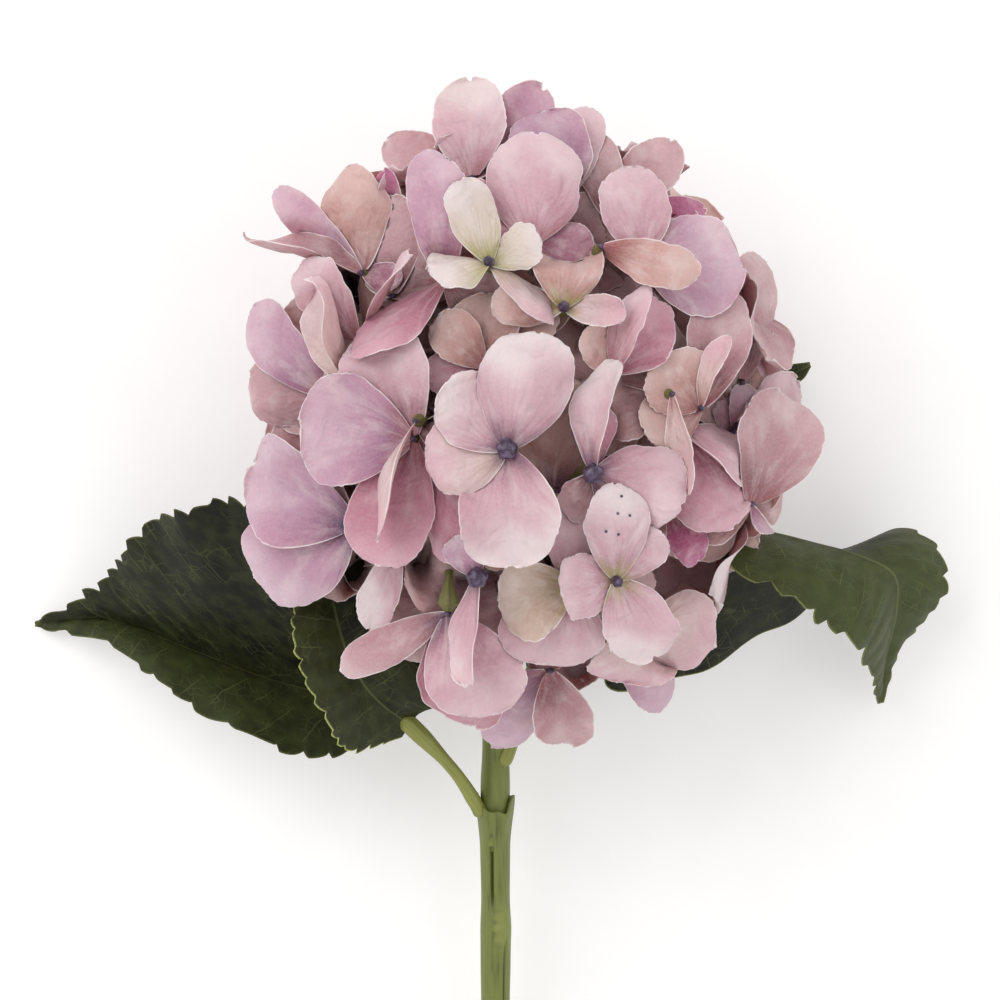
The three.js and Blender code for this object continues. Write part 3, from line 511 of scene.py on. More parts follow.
# The flowers of the upper side: their place as shares of the head's half width and half length and how far
# they stand out, the colour of the throat, and each petal's heading, length, width, roll, lift and dye.
# Lengths and widths are seen from above, in petal lengths. Those further down the list are tucked under
# those before them.
UPPER_FLOWERS = [
    ((-0.08, -0.09, 3), "plum", [
        (75, 1.16, 0.94, 0, 0, "blush_cream"), (133, 0.88, 0.72, 0, 0, "blush_cream"),
        (187, 0.8, 0.78, 0, 0, "cream_blush"), (272, 1.14, 1.02, 0, 0, "blush_cream")]),
    ((0.29, -0.47, 4), "olive", [
        (90, 0.92, 0.64, 0, 0, "blush_cream"), (46, 0.64, 0.48, 0, 0, "blush"),
        (297, 0.87, 0.74, 0, 0, "blush_cream"), (192, 0.56, 0.66, 0, 0, "blush")]),
    ((0.21, -0.16, 0), "plum", [
        (79, 1.12, 0.36, -50, 0, "blush_cream"), (340, 0.92, 0.96, 0, 0, "blush"),
        (103, 0.82, 0.24, 65, 0, "rose"), (250, 0.5, 0.42, 0, -30, "dusty")]),
    ((0.48, 0.07, 1), "rosy", [(279, 1, 0.24, 55, 10, "cream_blush")]),
    ((0.76, -0.25, 5), "rosy", [(77, 1.16, 0.97, 0, 0, "dusty"), (305, 0.36, 0.14, 50, 0, "lilac")]),
    ((0.14, -0.48, -4), "olive", [
        (196, 0.74, 0.76, 0, 0, "beige"), (250, 0.86, 1.02, 0, -5, "blush"),
        (95, 0.72, 0.44, 0, 0, "blush")]),
    ((-0.14, 0.45, 3), "olive", [
        (108, 0.86, 0.5, 35, 10, "cream"), (184, 0.6, 0.26, 58, 10, "cream"),
        (25, 0.56, 0.42, 0, 10, "cream"), (318, 0.86, 0.22, -55, 0, "cream_blush")]),
    ((-0.29, 0.4, 0), "rosy", [(93, 1.3, 0.58, -18, 12, "lilac"), (216, 1.15, 0.42, 40, 4, "rose")]),
    ((0.01, 0.51, -1), "rosy", [
        (88, 1.1, 0.97, 0, 0, "blush"), (139, 0.9, 0.5, -20, -15, "rose"),
        (12, 0.6, 0.4, 0, -20, "deep_rose")]),
    ((0.11, 0.32, 0), "olive", [
        (84, 0.76, 0.7, 0, 0, "salmon"), (355, 0.62, 0.32, 20, 20, "cream_blush"),
        (176, 0.7, 0.42, 0, 0, "salmon")]),
    ((0.24, 0.5, 5), "rosy", [(340, 0.98, 0.46, 20, 6, "salmon")]),
    ((0.38, 0.47, 0), "rosy", [(99, 0.9, 0.7, 0, 0, "blush"), (353, 0.98, 1.02, 0, 0, "lilac")]),
    ((0.09, 0.63, -8), "rosy", [(96, 0.98, 0.82, 0, 0, "purple"), (72, 1.05, 0.5, 0, -8, "blush")]),
    ((0.28, 0.13, -3), "rosy", [
        (72, 0.92, 0.3, -52, 15, "blush"), (58, 0.84, 0.52, 28, 0, "rose"),
        (118, 0.52, 0.46, 0, 15, "salmon")]),
    ((0.58, 0.03, 0), "rosy", [
        (75, 0.76, 0.2, -60, 15, "cream_blush"), (130, 0.64, 0.74, 0, 0, "salmon"),
        (77, 1.22, 0.62, 0, -5, "dusty"), (200, 0.6, 0.6, 0, 0, "salmon")]),
    ((0.73, 0.11, -10), "rosy", [(80, 1.32, 0.55, 0, 0, "dusty"), (66, 0.62, 0.15, -60, 10, "cream_blush")]),
    ((0.71, -0.04, -14), "plum", [
        (82, 0.5, 0.3, 0, 0, "lilac"), (118, 0.42, 0.25, 0, 0, "lilac"),
        (40, 0.84, 0.5, 0, 0, "blush")]),
    ((0.52, -0.03, 0), "rosy", [(324, 0.98, 0.38, -38, 10, "blush"), (300, 1.08, 0.9, 0, 0, "rose")]),
    ((-0.39, -0.01, 3), "rosy", [(260, 1.22, 0.2, 66, 12, "cream_blush")]),
    ((-0.4, -0.06, -2), "rosy", [
        (172, 1.1, 1.15, 0, 0, "lilac"), (109, 1.16, 0.85, 0, 0, "blush"),
        (254, 1.3, 0.85, 0, 0, "rose")]),
    ((-0.64, 0.1, 0), "rosy", [(97, 1.09, 0.38, -50, 5, "cream_blush")]),
    ((-0.59, 0.23, -5), "rosy", [(125, 1, 0.52, 0, 0, "blush"), (54, 0.98, 0.16, -70, 20, "blush")]),
    ((-0.69, 0.07, -14), "rosy", [(132, 1.2, 0.55, 0, 0, "lilac"), (165, 0.8, 0.92, 0, 0, "dusty")]),
    ((-0.61, -0.31, -3), "plum", [
        (152, 1.19, 1, 0, -5, "lilac"), (143, 0.87, 0.66, 15, 12, "cream_blush"),
        (208, 1.2, 1, 0, 0, "lilac")]),
    ((-0.58, 0.43, -5), "rosy", [
        (168, 1.25, 0.2, 62, 4, "dusty"), (135, 1.18, 0.36, 30, 5, "lilac"),
        (99, 1.05, 0.68, 0, 0, "salmon"), (350, 0.4, 0.3, 0, 0, "deep_rose")]),
    ((-0.47, 0.36, -6), "rosy", [(91, 1.02, 0.5, 0, 0, "dusty"), (96, 1.36, 0.4, 0, -4, "magenta")]),
    ((-0.2, 0.71, -4), "rosy", [
        (91, 0.98, 0.74, 0, 0, "blush_cream"), (53, 1.17, 0.6, 15, 0, "purple"),
        (152, 0.9, 0.55, 0, -12, "dusty")]),
    ((0.28, 0.58, -8), "rosy", [
        (101, 0.95, 0.44, 0, 0, "dusty"), (54, 0.98, 0.58, 0, 0, "dusty"),
        (20, 0.6, 0.42, 0, -5, "cream_blush"), (13, 0.92, 0.26, 0, -12, "magenta")]),
    ((-0.18, -0.46, 3), "plum", [(261, 1.1, 0.24, 60, 10, "blush"), (120, 0.45, 0.4, 0, -10, "lilac")]),
    ((-0.28, -0.57, 0), "calyx", [
        (297, 1.08, 0.95, 0, 0, "blush"), (207, 1.28, 0.4, 30, 0, "dusty"),
        (279, 1.3, 0.8, 0, -14, "rose")]),
    ((0.07, -0.74, -6), "rosy", [
        (285, 0.82, 0.6, 0, 0, "dusty"), (238, 1, 0.6, 0, -12, "lilac"),
        (262, 0.5, 0.5, 0, 10, "rose")]),
    ((0.38, -0.61, -5), "rosy", [
        (345, 0.75, 0.8, 0, 0, "cream_blush"), (250, 0.6, 0.85, 0, 0, "cream_blush"),
        (285, 0.85, 0.5, 0, -15, "lilac")]),
    ((-0.29, -0.12, -5), "rosy", [(274, 1.02, 0.45, 20, 0, "rose")]),
    ((-0.45, -0.38, -12), "rosy", [(250, 0.84, 0.4, 20, 0, "blush_cream")]),
    ((-0.16, 0.15, -7), "rosy", [
        (132, 0.66, 0.5, 0, 0, "salmon"), (88, 0.72, 0.72, 0, 0, "salmon"),
        (48, 0.95, 0.62, 0, 0, "salmon"), (190, 0.6, 0.44, 0, 0, "rose")]),
    ((0.48, -0.27, -10), "rosy", [(300, 0.58, 0.42, 0, 0, "magenta")]),
]
FACING_TILT = 0.6  # a flower tilts by this share of the head's own slope under it
STEEPEST_TILT = math.radians(38)
WIDEST, LONGEST = 1.1, 1.34  # of a petal, in petal lengths
EDGE_ON = 0.25  # least share of a petal's width that a view from above is taken to show
HELD_IN = 0.9  # a hidden petal ends within this share of the head's outline
HIDDEN_PETAL = (0.8, 0.75, 0, -28)  # length, width, roll and lift
# a tucked petal takes a darker dye than its flower's first petal, painted shade for lying under the others:
# dusty for lilac, beige for cream, otherwise the shade dye
TUCKED_SHADE_DYES = {"lilac": "dusty", "cream": "beige"}  # by the dye of the flower's first petal, or else shade

LOWER_FLOWERS = 12
LOWER_EYE_DEPTH = 0.8
LOWEST_SHARE = 1.04  # how far up from the very bottom the lower flowers are spread
LOWER_PETAL = (1.02, 0.98, 8, -6)
LOWER_DYES = ("blush", "rose", "dusty", "lilac", "blush_cream", "salmon")
BURIED_FLOWERS = 44
BURIED_EYE_DEPTH = 0.6
BURIED_PETAL = (1.1, 1.05, 12, 6)  # length and width in petal lengths, roll and lift
# the buried petals take the shade and dusty dyes, painted shade for lying deep in the head, between salmon
# ones of their own colour
BURIED_DYES_AND_SHADE = ("shade", "dusty", "salmon", "salmon")
BURIED_SPACING = 0.72 / 26  # from one to the next, down the head, as a share of its half depth
GOLDEN_ANGLE = 137.508
STEM_CLEARANCE = 30  # degrees kept free of flowers round the stem

PETAL_ROWS, PETAL_COLUMNS = 32, 17
ANY_PHASE = 6.3
SHAPE_SEED, DYE_SEED = 100, 500
TABLE_TOP = 0.4  # no petal lies lower


def upper_seat(at):
    """Where a flower of the upper side sits and which way it faces."""
    across, along, rise = at
    up = math.sqrt(max(0.0, EYE_DEPTH**2 - across**2 - along**2))
    eye = HEAD_CENTRE + HALF_HEAD * [across, along, up] + [0, 0, rise]
    slope = np.array([across / HALF_HEAD[0], along / HALF_HEAD[1], 0]) * HALF_HEAD[2] / max(up, 0.3)
    tilt = min(math.atan(np.linalg.norm(slope)) * FACING_TILT, STEEPEST_TILT)
    return eye, unit(slope) * math.sin(tilt) + np.array([0, 0, math.cos(tilt)])


def petal_frame(facing, flat, roll, lift):
    """A petal's heading, side and face, from the way it leaves the eye in the flower's own plane."""
    lift = math.radians(lift)
    heading = flat * math.cos(lift) + facing * math.sin(lift)
    face = unit(facing - heading * np.dot(facing, heading))
    side = unit(np.cross(heading, face))
    return heading, turned(side, heading, roll), turned(face, heading, roll)


def seen_petal(seat, entry, size):
    """One petal of the upper side, at its true size along the blade."""
    heading, plan_length, plan_width, roll, lift, dye = entry
    plan = np.array([math.cos(math.radians(heading)), math.sin(math.radians(heading)), 0])
    flat = unit(plan - np.array([0, 0, np.dot(plan, seat[1]) / seat[1][2]]))
    axes = petal_frame(seat[1], flat, roll, lift)
    reach = np.hypot(axes[0][0], axes[0][1])
    across = abs(axes[1][0] * axes[0][1] - axes[1][1] * axes[0][0]) / reach
    length = min(plan_length / reach, LONGEST) * size
    width = min(plan_width / max(across, EDGE_ON), WIDEST) * size
    return {"axes": axes, "length": length, "width": width, "dye": dye}


def hidden_petals(petals):
    """Fills a flower up to four petals, each in the widest gap left and tucked back under the others."""
    headings = [entry[0] for entry in petals]
    hidden = []
    while len(headings) < 4:
        turns = sorted(headings)
        spans = [(b - a, (a + b) / 2) for a, b in zip(turns, turns[1:] + [turns[0] + 360])]
        middle = max(spans, key=lambda span: span[0])[1]
        headings.append(middle)
        hidden.append((middle, *HIDDEN_PETAL, TUCKED_SHADE_DYES.get(petals[0][5], "shade")))
    return hidden


def held_in(petal, eye):
    """Shortens a petal that would reach out past the head's outline, seen from above."""
    for length in np.linspace(petal["length"], 0.35 * petal["length"], 12):
        tip = (eye + petal["axes"][0] * length - HEAD_CENTRE)[:2] / HALF_HEAD[:2]
        if np.hypot(*tip) < HELD_IN:
            break
    petal["width"] *= 0.5 + 0.5 * length / petal["length"]
    petal["length"] = length
    return petal


def round_the_head(turn, start, up):
    """The way out of the head's middle at one turn of a spiral round it, or None where it meets the stem."""
    angle = math.radians(GOLDEN_ANGLE * turn + start)
    out = math.sqrt(1 - up**2)
    way = np.array([out * math.cos(angle), out * math.sin(angle), up])
    off_stem = math.degrees(math.acos(np.dot(way, unit(HEAD_FOOT - HEAD_CENTRE))))
    return way if off_stem > STEM_CLEARANCE else None


def buried_petals(size):
    """Petals of the flowers buried in the head, seen only as dusky slivers between the others."""
    length, width, roll, lift = BURIED_PETAL
    buried = []
    for turn in range(BURIED_FLOWERS):
        way = round_the_head(turn, 15, 1 - BURIED_SPACING * (turn + 0.5))
        if way is None:
            continue
        facing = unit(way / HALF_HEAD + [0, 0, 0.012])
        start = unit(np.cross([0.2, 1, 0.1], facing))
        for k in range(3):
            flat = turned(start, facing, 120 * k + 47 * turn)
            buried.append({
                "axes": petal_frame(facing, flat, roll, lift),
                "length": length * size,
                "width": width * size,
                "eye": HEAD_CENTRE + way * HALF_HEAD * BURIED_EYE_DEPTH,
                "dye": BURIED_DYES_AND_SHADE[(turn + k) % len(BURIED_DYES_AND_SHADE)],
            })
    return buried


def lower_flowers(size):
    """The flowers of the side it lies on, spiralling out from the very bottom and clear of the stem."""
    length, width, roll, lift = LOWER_PETAL
    flowers = []
    turn = 0
    while len(flowers) < LOWER_FLOWERS:
        way = round_the_head(turn, 40, LOWEST_SHARE * (turn + 0.5) / (LOWER_FLOWERS + 1) - 1)
        if way is not None:
            facing = unit(way / HALF_HEAD)
            eye = HEAD_CENTRE + way * HALF_HEAD * LOWER_EYE_DEPTH
            start = unit(np.cross([0, 0, 1], facing))
            petals = []
            for k in range(4):
                flat = turned(start, facing, 90 * k + 31 * turn)
                petals.append(held_in({
                    "axes": petal_frame(facing, flat, roll, lift + 5 * (k % 2)),
                    "length": size * (length + 0.04 * (k % 3)),
                    "width": width * size,
                    "dye": LOWER_DYES[(turn + k % 2) % len(LOWER_DYES)],
                }, eye))
            throat = ("plum", "olive")[turn % 2]
            flowers.append({"eye": eye, "facing": facing, "throat": throat, "seen": petals, "tucked": []})
        turn += 1
    return flowers


def flower_list(size):
    """Every flower as its eye, facing, throat and petals, the upper side first."""
    flowers = []
    for at, throat, petals in UPPER_FLOWERS:
        eye, facing = seat = upper_seat(at)
        seen = [seen_petal(seat, entry, size) for entry in petals]
        tucked = [held_in(seen_petal(seat, entry, size), eye) for entry in hidden_petals(petals)]
        flowers.append({"eye": eye, "facing": facing, "throat": throat, "seen": seen, "tucked": tucked})
    for petal in buried_petals(size):
        nearest = min(flowers, key=lambda flower: np.linalg.norm(flower["eye"] - petal["eye"]))
        nearest["tucked"].append(petal)
    return flowers + lower_flowers(size)


def petal_outline(u, v, length, width, fray, rng):
    """The blade's points in its own plane: narrow at the claw, broad past the middle, lobed and frayed."""
    claw = 0.1  # its width at the root, as a share of its broadest
    broad = rng.uniform(0.52, 0.64)
    spread = claw + (1 - claw) * np.sin(np.clip(v / broad, 0, 1) * math.pi / 2) ** 0.8
    tip = np.sqrt(np.clip(1 - np.clip((v - broad) / (1 - broad), 0, 1) ** rng.uniform(2.2, 2.9), 0, 1))
    x = u * width / 2 * spread * tip
    y = v * length * np.ones_like(u)
    middle = 0.55 * length
    angle = np.arctan2(x, y - middle)
    margin = np.maximum(np.abs(u) ** 6 * np.ones_like(v), v**12 * np.ones_like(u)) * smooth(0.15, 0.5, v)
    wobble = np.zeros_like(x)
    for lobes, strength in ((2, 0.035), (3, 0.035), (5, 0.022), (9, 0.013)):
        wobble += rng.normal(0, strength) * np.sin(lobes * angle + rng.uniform(0, ANY_PHASE))
    threads = rng.normal(0, 1, x.shape) * fray / (0.5 * length)
    swell = 1 + np.abs(u) ** 2 * smooth(0.2, 0.6, v) * wobble + margin * threads
    return x * swell, middle + (y - middle) * swell


def petal_relief(u, v, x, y, length, width, rng):
    """How far each point stands off that plane: cup, bow, curled tip, rippled margin, veins and crumples."""
    cup = rng.uniform(-0.24, 0.3)
    bow = rng.uniform(-0.05, 0.13)
    curl = rng.uniform(-0.6, 0.6)
    ripple = rng.uniform(0.03, 0.075)
    z = cup * width * u**2 * np.sin(math.pi * np.clip(v, 0, 0.9))
    z = z + bow * length * np.sin(math.pi * v) + curl * length * np.clip(v - 0.62, 0, 1) ** 2
    beat = 2 * math.pi * (1.6 * v + rng.uniform(0, 1)) + (u > 0) * rng.uniform(1, 5)
    z = z + ripple * width * np.abs(u) ** 3 * np.sin(beat) * v
    z = z + rng.uniform(-0.06, 0.06) * width * u * v
    ray = np.arctan2(x, y + 2)
    fold = rng.uniform(0.15, 0.4)
    z = z + fold * np.sin(ray * rng.uniform(9, 14) + rng.uniform(0, ANY_PHASE)) * v * np.ones_like(u)
    crumple = rng.uniform(0.2, 0.5)
    slanting = np.sin(x * rng.uniform(0.25, 0.45) + y * rng.uniform(-0.2, 0.2))
    z = z + crumple * slanting * np.sin(y * 0.32 + rng.uniform(0, ANY_PHASE))
    return z - 0.02 * width * np.exp(-((u / 0.08) ** 2)) * np.sin(math.pi * np.clip(v * 1.1, 0, 1))


def shape_petal(petal, eye, rng, fray):
    """Gives a petal its grid of points, v running from root to tip and u from side to side."""
    length, width = petal["length"], petal["width"]
    heading, side, face = petal["axes"]
    v = 0.02 + 0.979 * (1 - (1 - np.linspace(0, 1, PETAL_ROWS)) ** 1.6)[:, None]
    u = np.sin(np.linspace(-1, 1, PETAL_COLUMNS) * math.pi / 2)[None, :]
    x, y = petal_outline(u, v, length, width, fray, rng)
    z = petal_relief(u, v, x, y, length, width, rng)
    root = petal.get("eye", eye)
    petal["grid"] = root + x[..., None] * side + y[..., None] * heading + z[..., None] * face
    petal["flat"] = np.stack([x, y], axis=-1)
    petal["along"] = v * np.ones_like(u)


class Cover:
    """How high the petals already laid reach over each spot of the table, so that later ones go beneath."""

    CELL = 0.75  # side of a square of the table
    CELLS = (300, 330)
    CORNER = np.array([-110.0, -120.0])
    CLEAR = 0.8  # from one petal down to the next
    DEEPEST = 8.0  # below the top of the heap
    STEEPEST = 30
    EASED = 14  # steps of the grid over which a petal is eased down

    def __init__(self):
        self.lowest = np.full(self.CELLS, np.inf)
        self.top = np.full(self.CELLS, np.inf)

    def cells(self, points):
        """The squares that these points lie over."""
        index = ((points[..., :2] - self.CORNER) / self.CELL).astype(int)
        return tuple(np.clip(index[..., k], 0, self.CELLS[k] - 1) for k in range(2))

    def tuck(self, grid):
        """Lowers a petal where it would come through one laid before, and eases the rest down with it."""
        cells = self.cells(grid)
        limit = np.maximum(self.lowest[cells], self.top[cells] - self.DEEPEST) - self.CLEAR
        need = np.clip(grid[..., 2] - limit, 0, self.STEEPEST)
        need[~np.isfinite(limit)] = 0
        drop = need.copy()
        rows, columns = drop.shape
        for _ in range(self.EASED):
            padded = np.pad(drop, 1, mode="edge")
            mean = sum(padded[i:i + rows, j:j + columns] for i in range(3) for j in range(3)) / 9
            drop = np.maximum(need, mean)
        grid[..., 2] -= drop

    def lay(self, grid):
        """Marks a petal's place, read at three points for each step of its grid."""
        rows, columns = grid.shape[:2]
        r = np.linspace(0, rows - 1.001, rows * 3)
        c = np.linspace(0, columns - 1.001, columns * 3)
        i, j = r.astype(int), c.astype(int)
        a, b = (r - i)[:, None, None], (c - j)[None, :, None]
        near = grid[i][:, j] * (1 - b) + grid[i][:, j + 1] * b
        far = grid[i + 1][:, j] * (1 - b) + grid[i + 1][:, j + 1] * b
        dense = near * (1 - a) + far * a
        cells = self.cells(dense)
        own_low = np.full_like(self.lowest, np.inf)
        own_top = np.full_like(self.top, -np.inf)
        np.minimum.at(own_low, cells, dense[..., 2])
        np.maximum.at(own_top, cells, dense[..., 2])
        covered = np.isfinite(own_low)
        self.lowest = np.minimum(self.lowest, own_low)
        fresh = covered & ~np.isfinite(self.top)
        self.top[fresh] = own_top[fresh]
        higher = covered & ~fresh
        self.top[higher] = np.maximum(self.top[higher], own_top[higher])


def petal_colours(petal, throat, rng):
    """The dye over a petal: root, middle and tip run together, and the throat's colour is at the root."""
    root, middle, tip = (np.array(linear(c)) for c in DYES[petal["dye"]])
    along = petal["along"]
    x, y = petal["flat"][..., 0], petal["flat"][..., 1]
    lean = rng.normal(0, 0.5) * x / petal["width"]
    strength = rng.uniform(0.06, 0.1)
    slant = x * rng.uniform(0.2, 0.5) + y * rng.uniform(0.1, 0.3)
    cloud = strength * np.sin(slant + rng.uniform(0, ANY_PHASE))
    place = np.clip(along + lean * along + cloud, 0, 1)
    low = smooth(0.08, 0.5, place)[..., None]
    high = smooth(0.5, 0.95, place)[..., None]
    colour = root * (1 - low) + middle * low * (1 - high) + tip * low * high
    rays = 0.5 + 0.5 * np.sin(np.arctan2(x, y + 0.5) * 9 + rng.uniform(0, ANY_PHASE))
    throat_length = 1.5 * (0.15 + 0.1 * rays)
    deep = (1 - smooth(0.0, 1.0, along / throat_length))[..., None] * 0.85
    return colour * (1 - deep) + np.array(linear(THROATS[throat])) * deep


def add_petal(heap, petal, throat, rng, full_thickness):
    """Closes a petal's grid into a thin body, and adds it with its dye, its rim and its fan of veins."""
    flat = petal["flat"]
    edge = np.concatenate([flat[:, 0], flat[-1], flat[::-1, -1]])
    rim = np.min(np.linalg.norm(flat[:, :, None] - edge[None, None], axis=-1), axis=-1)
    verts, faces = sheet(petal["grid"], full_thickness * (0.55 + 0.45 * smooth(0, 1.5, rim)))
    colour = petal_colours(petal, throat, rng).reshape(-1, 4)
    turn = np.arctan2(flat[..., 0], flat[..., 1] + 1.5)
    apart = np.full(rim.shape, rng.uniform(0, 50))  # sets each petal's own clouds and veins
    fan = np.stack([turn, petal["along"], apart], axis=-1).reshape(-1, 3)
    skins = {"dye": np.vstack([colour, colour]), "rim": np.tile(rim.ravel(), 2), "fan": np.vstack([fan, fan])}
    heap.add(verts, faces, 0, **skins)


def length_property(name, description, millimetres):
    """A length that a user may change."""
    return FloatProperty(name=name, description=description, default=millimetres * MM, unit="LENGTH")


def colour_property(name, description, hex_colour):
    """A colour that a user may change."""
    default = linear(hex_colour)[:3]
    return FloatVectorProperty(name=name, description=description, size=3, subtype="COLOR", default=default)


class HydrangeaPetals(PropertyGroup):
    size: length_property("Petal size", "Length of an ordinary petal from its root to its tip", 25)
    thickness: length_property("Thickness", "Thickness of the satin with its starch", 0.34)
    fray: length_property("Fray", "How far the cut edge strays from a clean line", 0.13)
    rim_colour: colour_property("Rim colour", "Undyed threads along the cut edge", "#f6e7e6")


def laid_flowers(settings):
    """Every flower with its petals shaped and laid over one another, and its eye where its petals took it."""
    flowers = flower_list(settings.size / MM)
    for number, flower in enumerate(flowers):
        rng = np.random.default_rng(SHAPE_SEED + number)
        for petal in flower["seen"] + flower["tucked"]:
            shape_petal(petal, flower["eye"], rng, settings.fray / MM)
    cover = Cover()
    upper = flowers[:len(UPPER_FLOWERS)]
    for kind in ("seen", "tucked"):
        for flower in upper:
            for petal in flower[kind]:
                cover.tuck(petal["grid"])
                cover.lay(petal["grid"])
    for flower in upper:
        roots = [petal["grid"][0].mean(axis=0)[2] for petal in flower["seen"]]
        eye = flower["eye"]
        flower["eye"] = np.array([eye[0], eye[1], min(eye[2], max(roots) + 0.5)])
    for flower in flowers:
        for petal in flower["seen"] + flower["tucked"]:
            petal["grid"][..., 2] = np.maximum(petal["grid"][..., 2], TABLE_TOP)
    return flowers


# The bead's length and width, by the flower's throat, and the dark flecks on the first petal of a flower,
# each as shares of the way along the petal and across it.
BEADS = {"olive": (5.2, 2.7), "plum": (4.6, 5.2), "rosy": (1.8, 1.6), "calyx": (1.8, 1.6)}
FLECKS = {2: [(0.88, 0.25), (0.72, -0.07), (0.68, 0.42), (0.54, -0.42), (0.5, 0.03)]}
FLECK_SIZE = (0.5, 0.75)


def dark_parts(number, flower):
    """The meshes of a flower's bead and flecks."""
    length, width = BEADS[flower["throat"]]
    facing = flower["facing"]
    parts = [bead(flower["eye"] + facing * (length * 0.4 - 0.6), facing, length, width, 5)]
    petal = flower["seen"][0]
    face = petal["axes"][2]
    for along, across in FLECKS.get(number, ()):
        row = int(np.argmin(np.abs(petal["along"][:, 0] - along)))
        column = int(round((math.asin(across) / math.pi + 0.5) * (PETAL_COLUMNS - 1)))
        parts.append(bead(petal["grid"][row, column] + face * 0.2, face, *FLECK_SIZE))
    return parts


class HYDRANGEA_OT_flowers(Operator):
    """Make the flowers: satin petals round a dark bead"""

    bl_idname = "hydrangea.flowers"
    bl_label = "Flowers"

    def execute(self, context):
        settings = context.scene.hydrangea.petals
        finishes = [satin_petal(settings), moulded_bead()]
        slots = {row["node"]: row["material_slot"] for row in frame["record"]["subparts"]}
        for number, flower in enumerate(laid_flowers(settings), 1):
            rng = np.random.default_rng(DYE_SEED + number)
            heap = Heap()
            for petal in flower["seen"] + flower["tucked"]:
                add_petal(heap, petal, flower["throat"], rng, settings.thickness / MM)
            for verts, faces in dark_parts(number, flower):
                count = len(verts)
                plain = {"dye": np.zeros((count, 4)), "rim": np.zeros(count), "fan": np.zeros((count, 3))}
                heap.add(verts, faces, 1, **plain)
            cad = f"flower_{number:02d}"
            hand_over(heap.link(f"bloom_{number:02d}", finishes), slots[cad], cad)
        return {"FINISHED"}


# ---- Stem, branches and the flowers' own stalks ----

STEM_LENGTH = 163  # from the cut end to the head's foot
STEM_LINE = [
    CUT_END,
    [-1.5, HEAD_FOOT[1] - 0.66 * STEM_LENGTH, 7.8],
    [-1, HEAD_FOOT[1] - 0.3 * STEM_LENGTH, HEAD_FOOT[2] - 10],
    HEAD_FOOT,
    FORK_POINT,
]
STEM = Course(STEM_LINE)
MOUTH_REACH = STEM_LENGTH - 15  # where the lower stem's widened mouth begins to open
SCAR_REACH = MOUTH_REACH - 28.5  # the old leaf scar
KNOT = FORK_POINT + [0, 3, 2]
BRANCH_WAYS = [(0.1, 1, 0.5), (-0.8, 0.7, 0.35), (0.85, 0.7, 0.3), (-0.75, -0.3, 0.6), (0.8, -0.35, 0.55),
               (0.05, 0.1, 1), (-0.4, 0.5, -0.8), (0.5, 0.35, -0.8)]
FORK_SHARE = 0.42
CALYX_STALK = ([1, 13, -6], [0, 8, 0.6], [0, 0.5, 1.2])  # it shows, and is met at these places off the eye
BRANCH_RINGS, BRANCH_SIDES = 30, 14
STALK_RINGS, STALK_SIDES = 22, 12


class HydrangeaStem(PropertyGroup):
    lower_width: length_property("Lower stem", "Thickness of the lower stem", 7.5)
    upper_width: length_property("Upper stem", "Thickness of the upper stem", 7.3)
    branch_width: length_property("Branches", "Thickness of the branches in the head", 3.6)
    stalk_width: length_property("Flower stalks", "Thickness of one flower's stalk", 2.2)


def run_marks(reach, relief, radius=3.8):
    """Attributes of a tube: the way round and along it in millimetres, and how far its skin stands out."""
    relief = np.asarray(relief, float)
    angle = round_angles(relief.shape[1])
    run = np.stack(np.broadcast_arrays(radius * np.cos(angle), reach, radius * np.sin(angle)), axis=-1)
    return {"run": run.reshape(-1, 3), "relief": relief.ravel()}


def even_marks(course, relief):
    """The same for a tube whose rings lie evenly along its course."""
    return run_marks(np.linspace(0, course.length, len(relief))[:, None], relief)


def groove(angle, where, width):
    """1 along a line down the stem at an angle from the top, falling to 0 at its sides."""
    gap = (angle - where + math.pi) % (2 * math.pi) - math.pi
    return np.exp(-((gap / width) ** 2))


def lower_stem_relief(angle, outer):
    """Two strands grown together in the upper third, an old leaf scar, and a shallow groove below it."""
    past_scar = outer - SCAR_REACH
    strands = smooth(3, 10, past_scar) * (1 - smooth(MOUTH_REACH - 7, MOUTH_REACH - 3.5, outer))
    relief = -1.2 * strands * groove(angle, -0.26, 0.1) - 0.4 * strands * groove(angle, 3.4, 0.4)
    relief = relief - 0.6 * (1 - smooth(-6, 2, past_scar)) * groove(angle, 0.68 + 0.003 * past_scar, 0.1)
    relief = relief + 0.12 * np.sin(3 * angle + 0.05 * outer) + 0.1 * np.sin(0.21 * outer + 2 * angle)
    relief = relief + np.exp(-((past_scar / 4.2) ** 2)) * (0.15 + 0.9 * groove(angle, 0.5, 0.6))
    creases = np.sin(past_scar * 2.1 + 1.2 * np.cos(angle)) * np.exp(-((past_scar / 5) ** 2))
    return relief + 0.4 * creases * groove(angle, 0.1, 0.4)


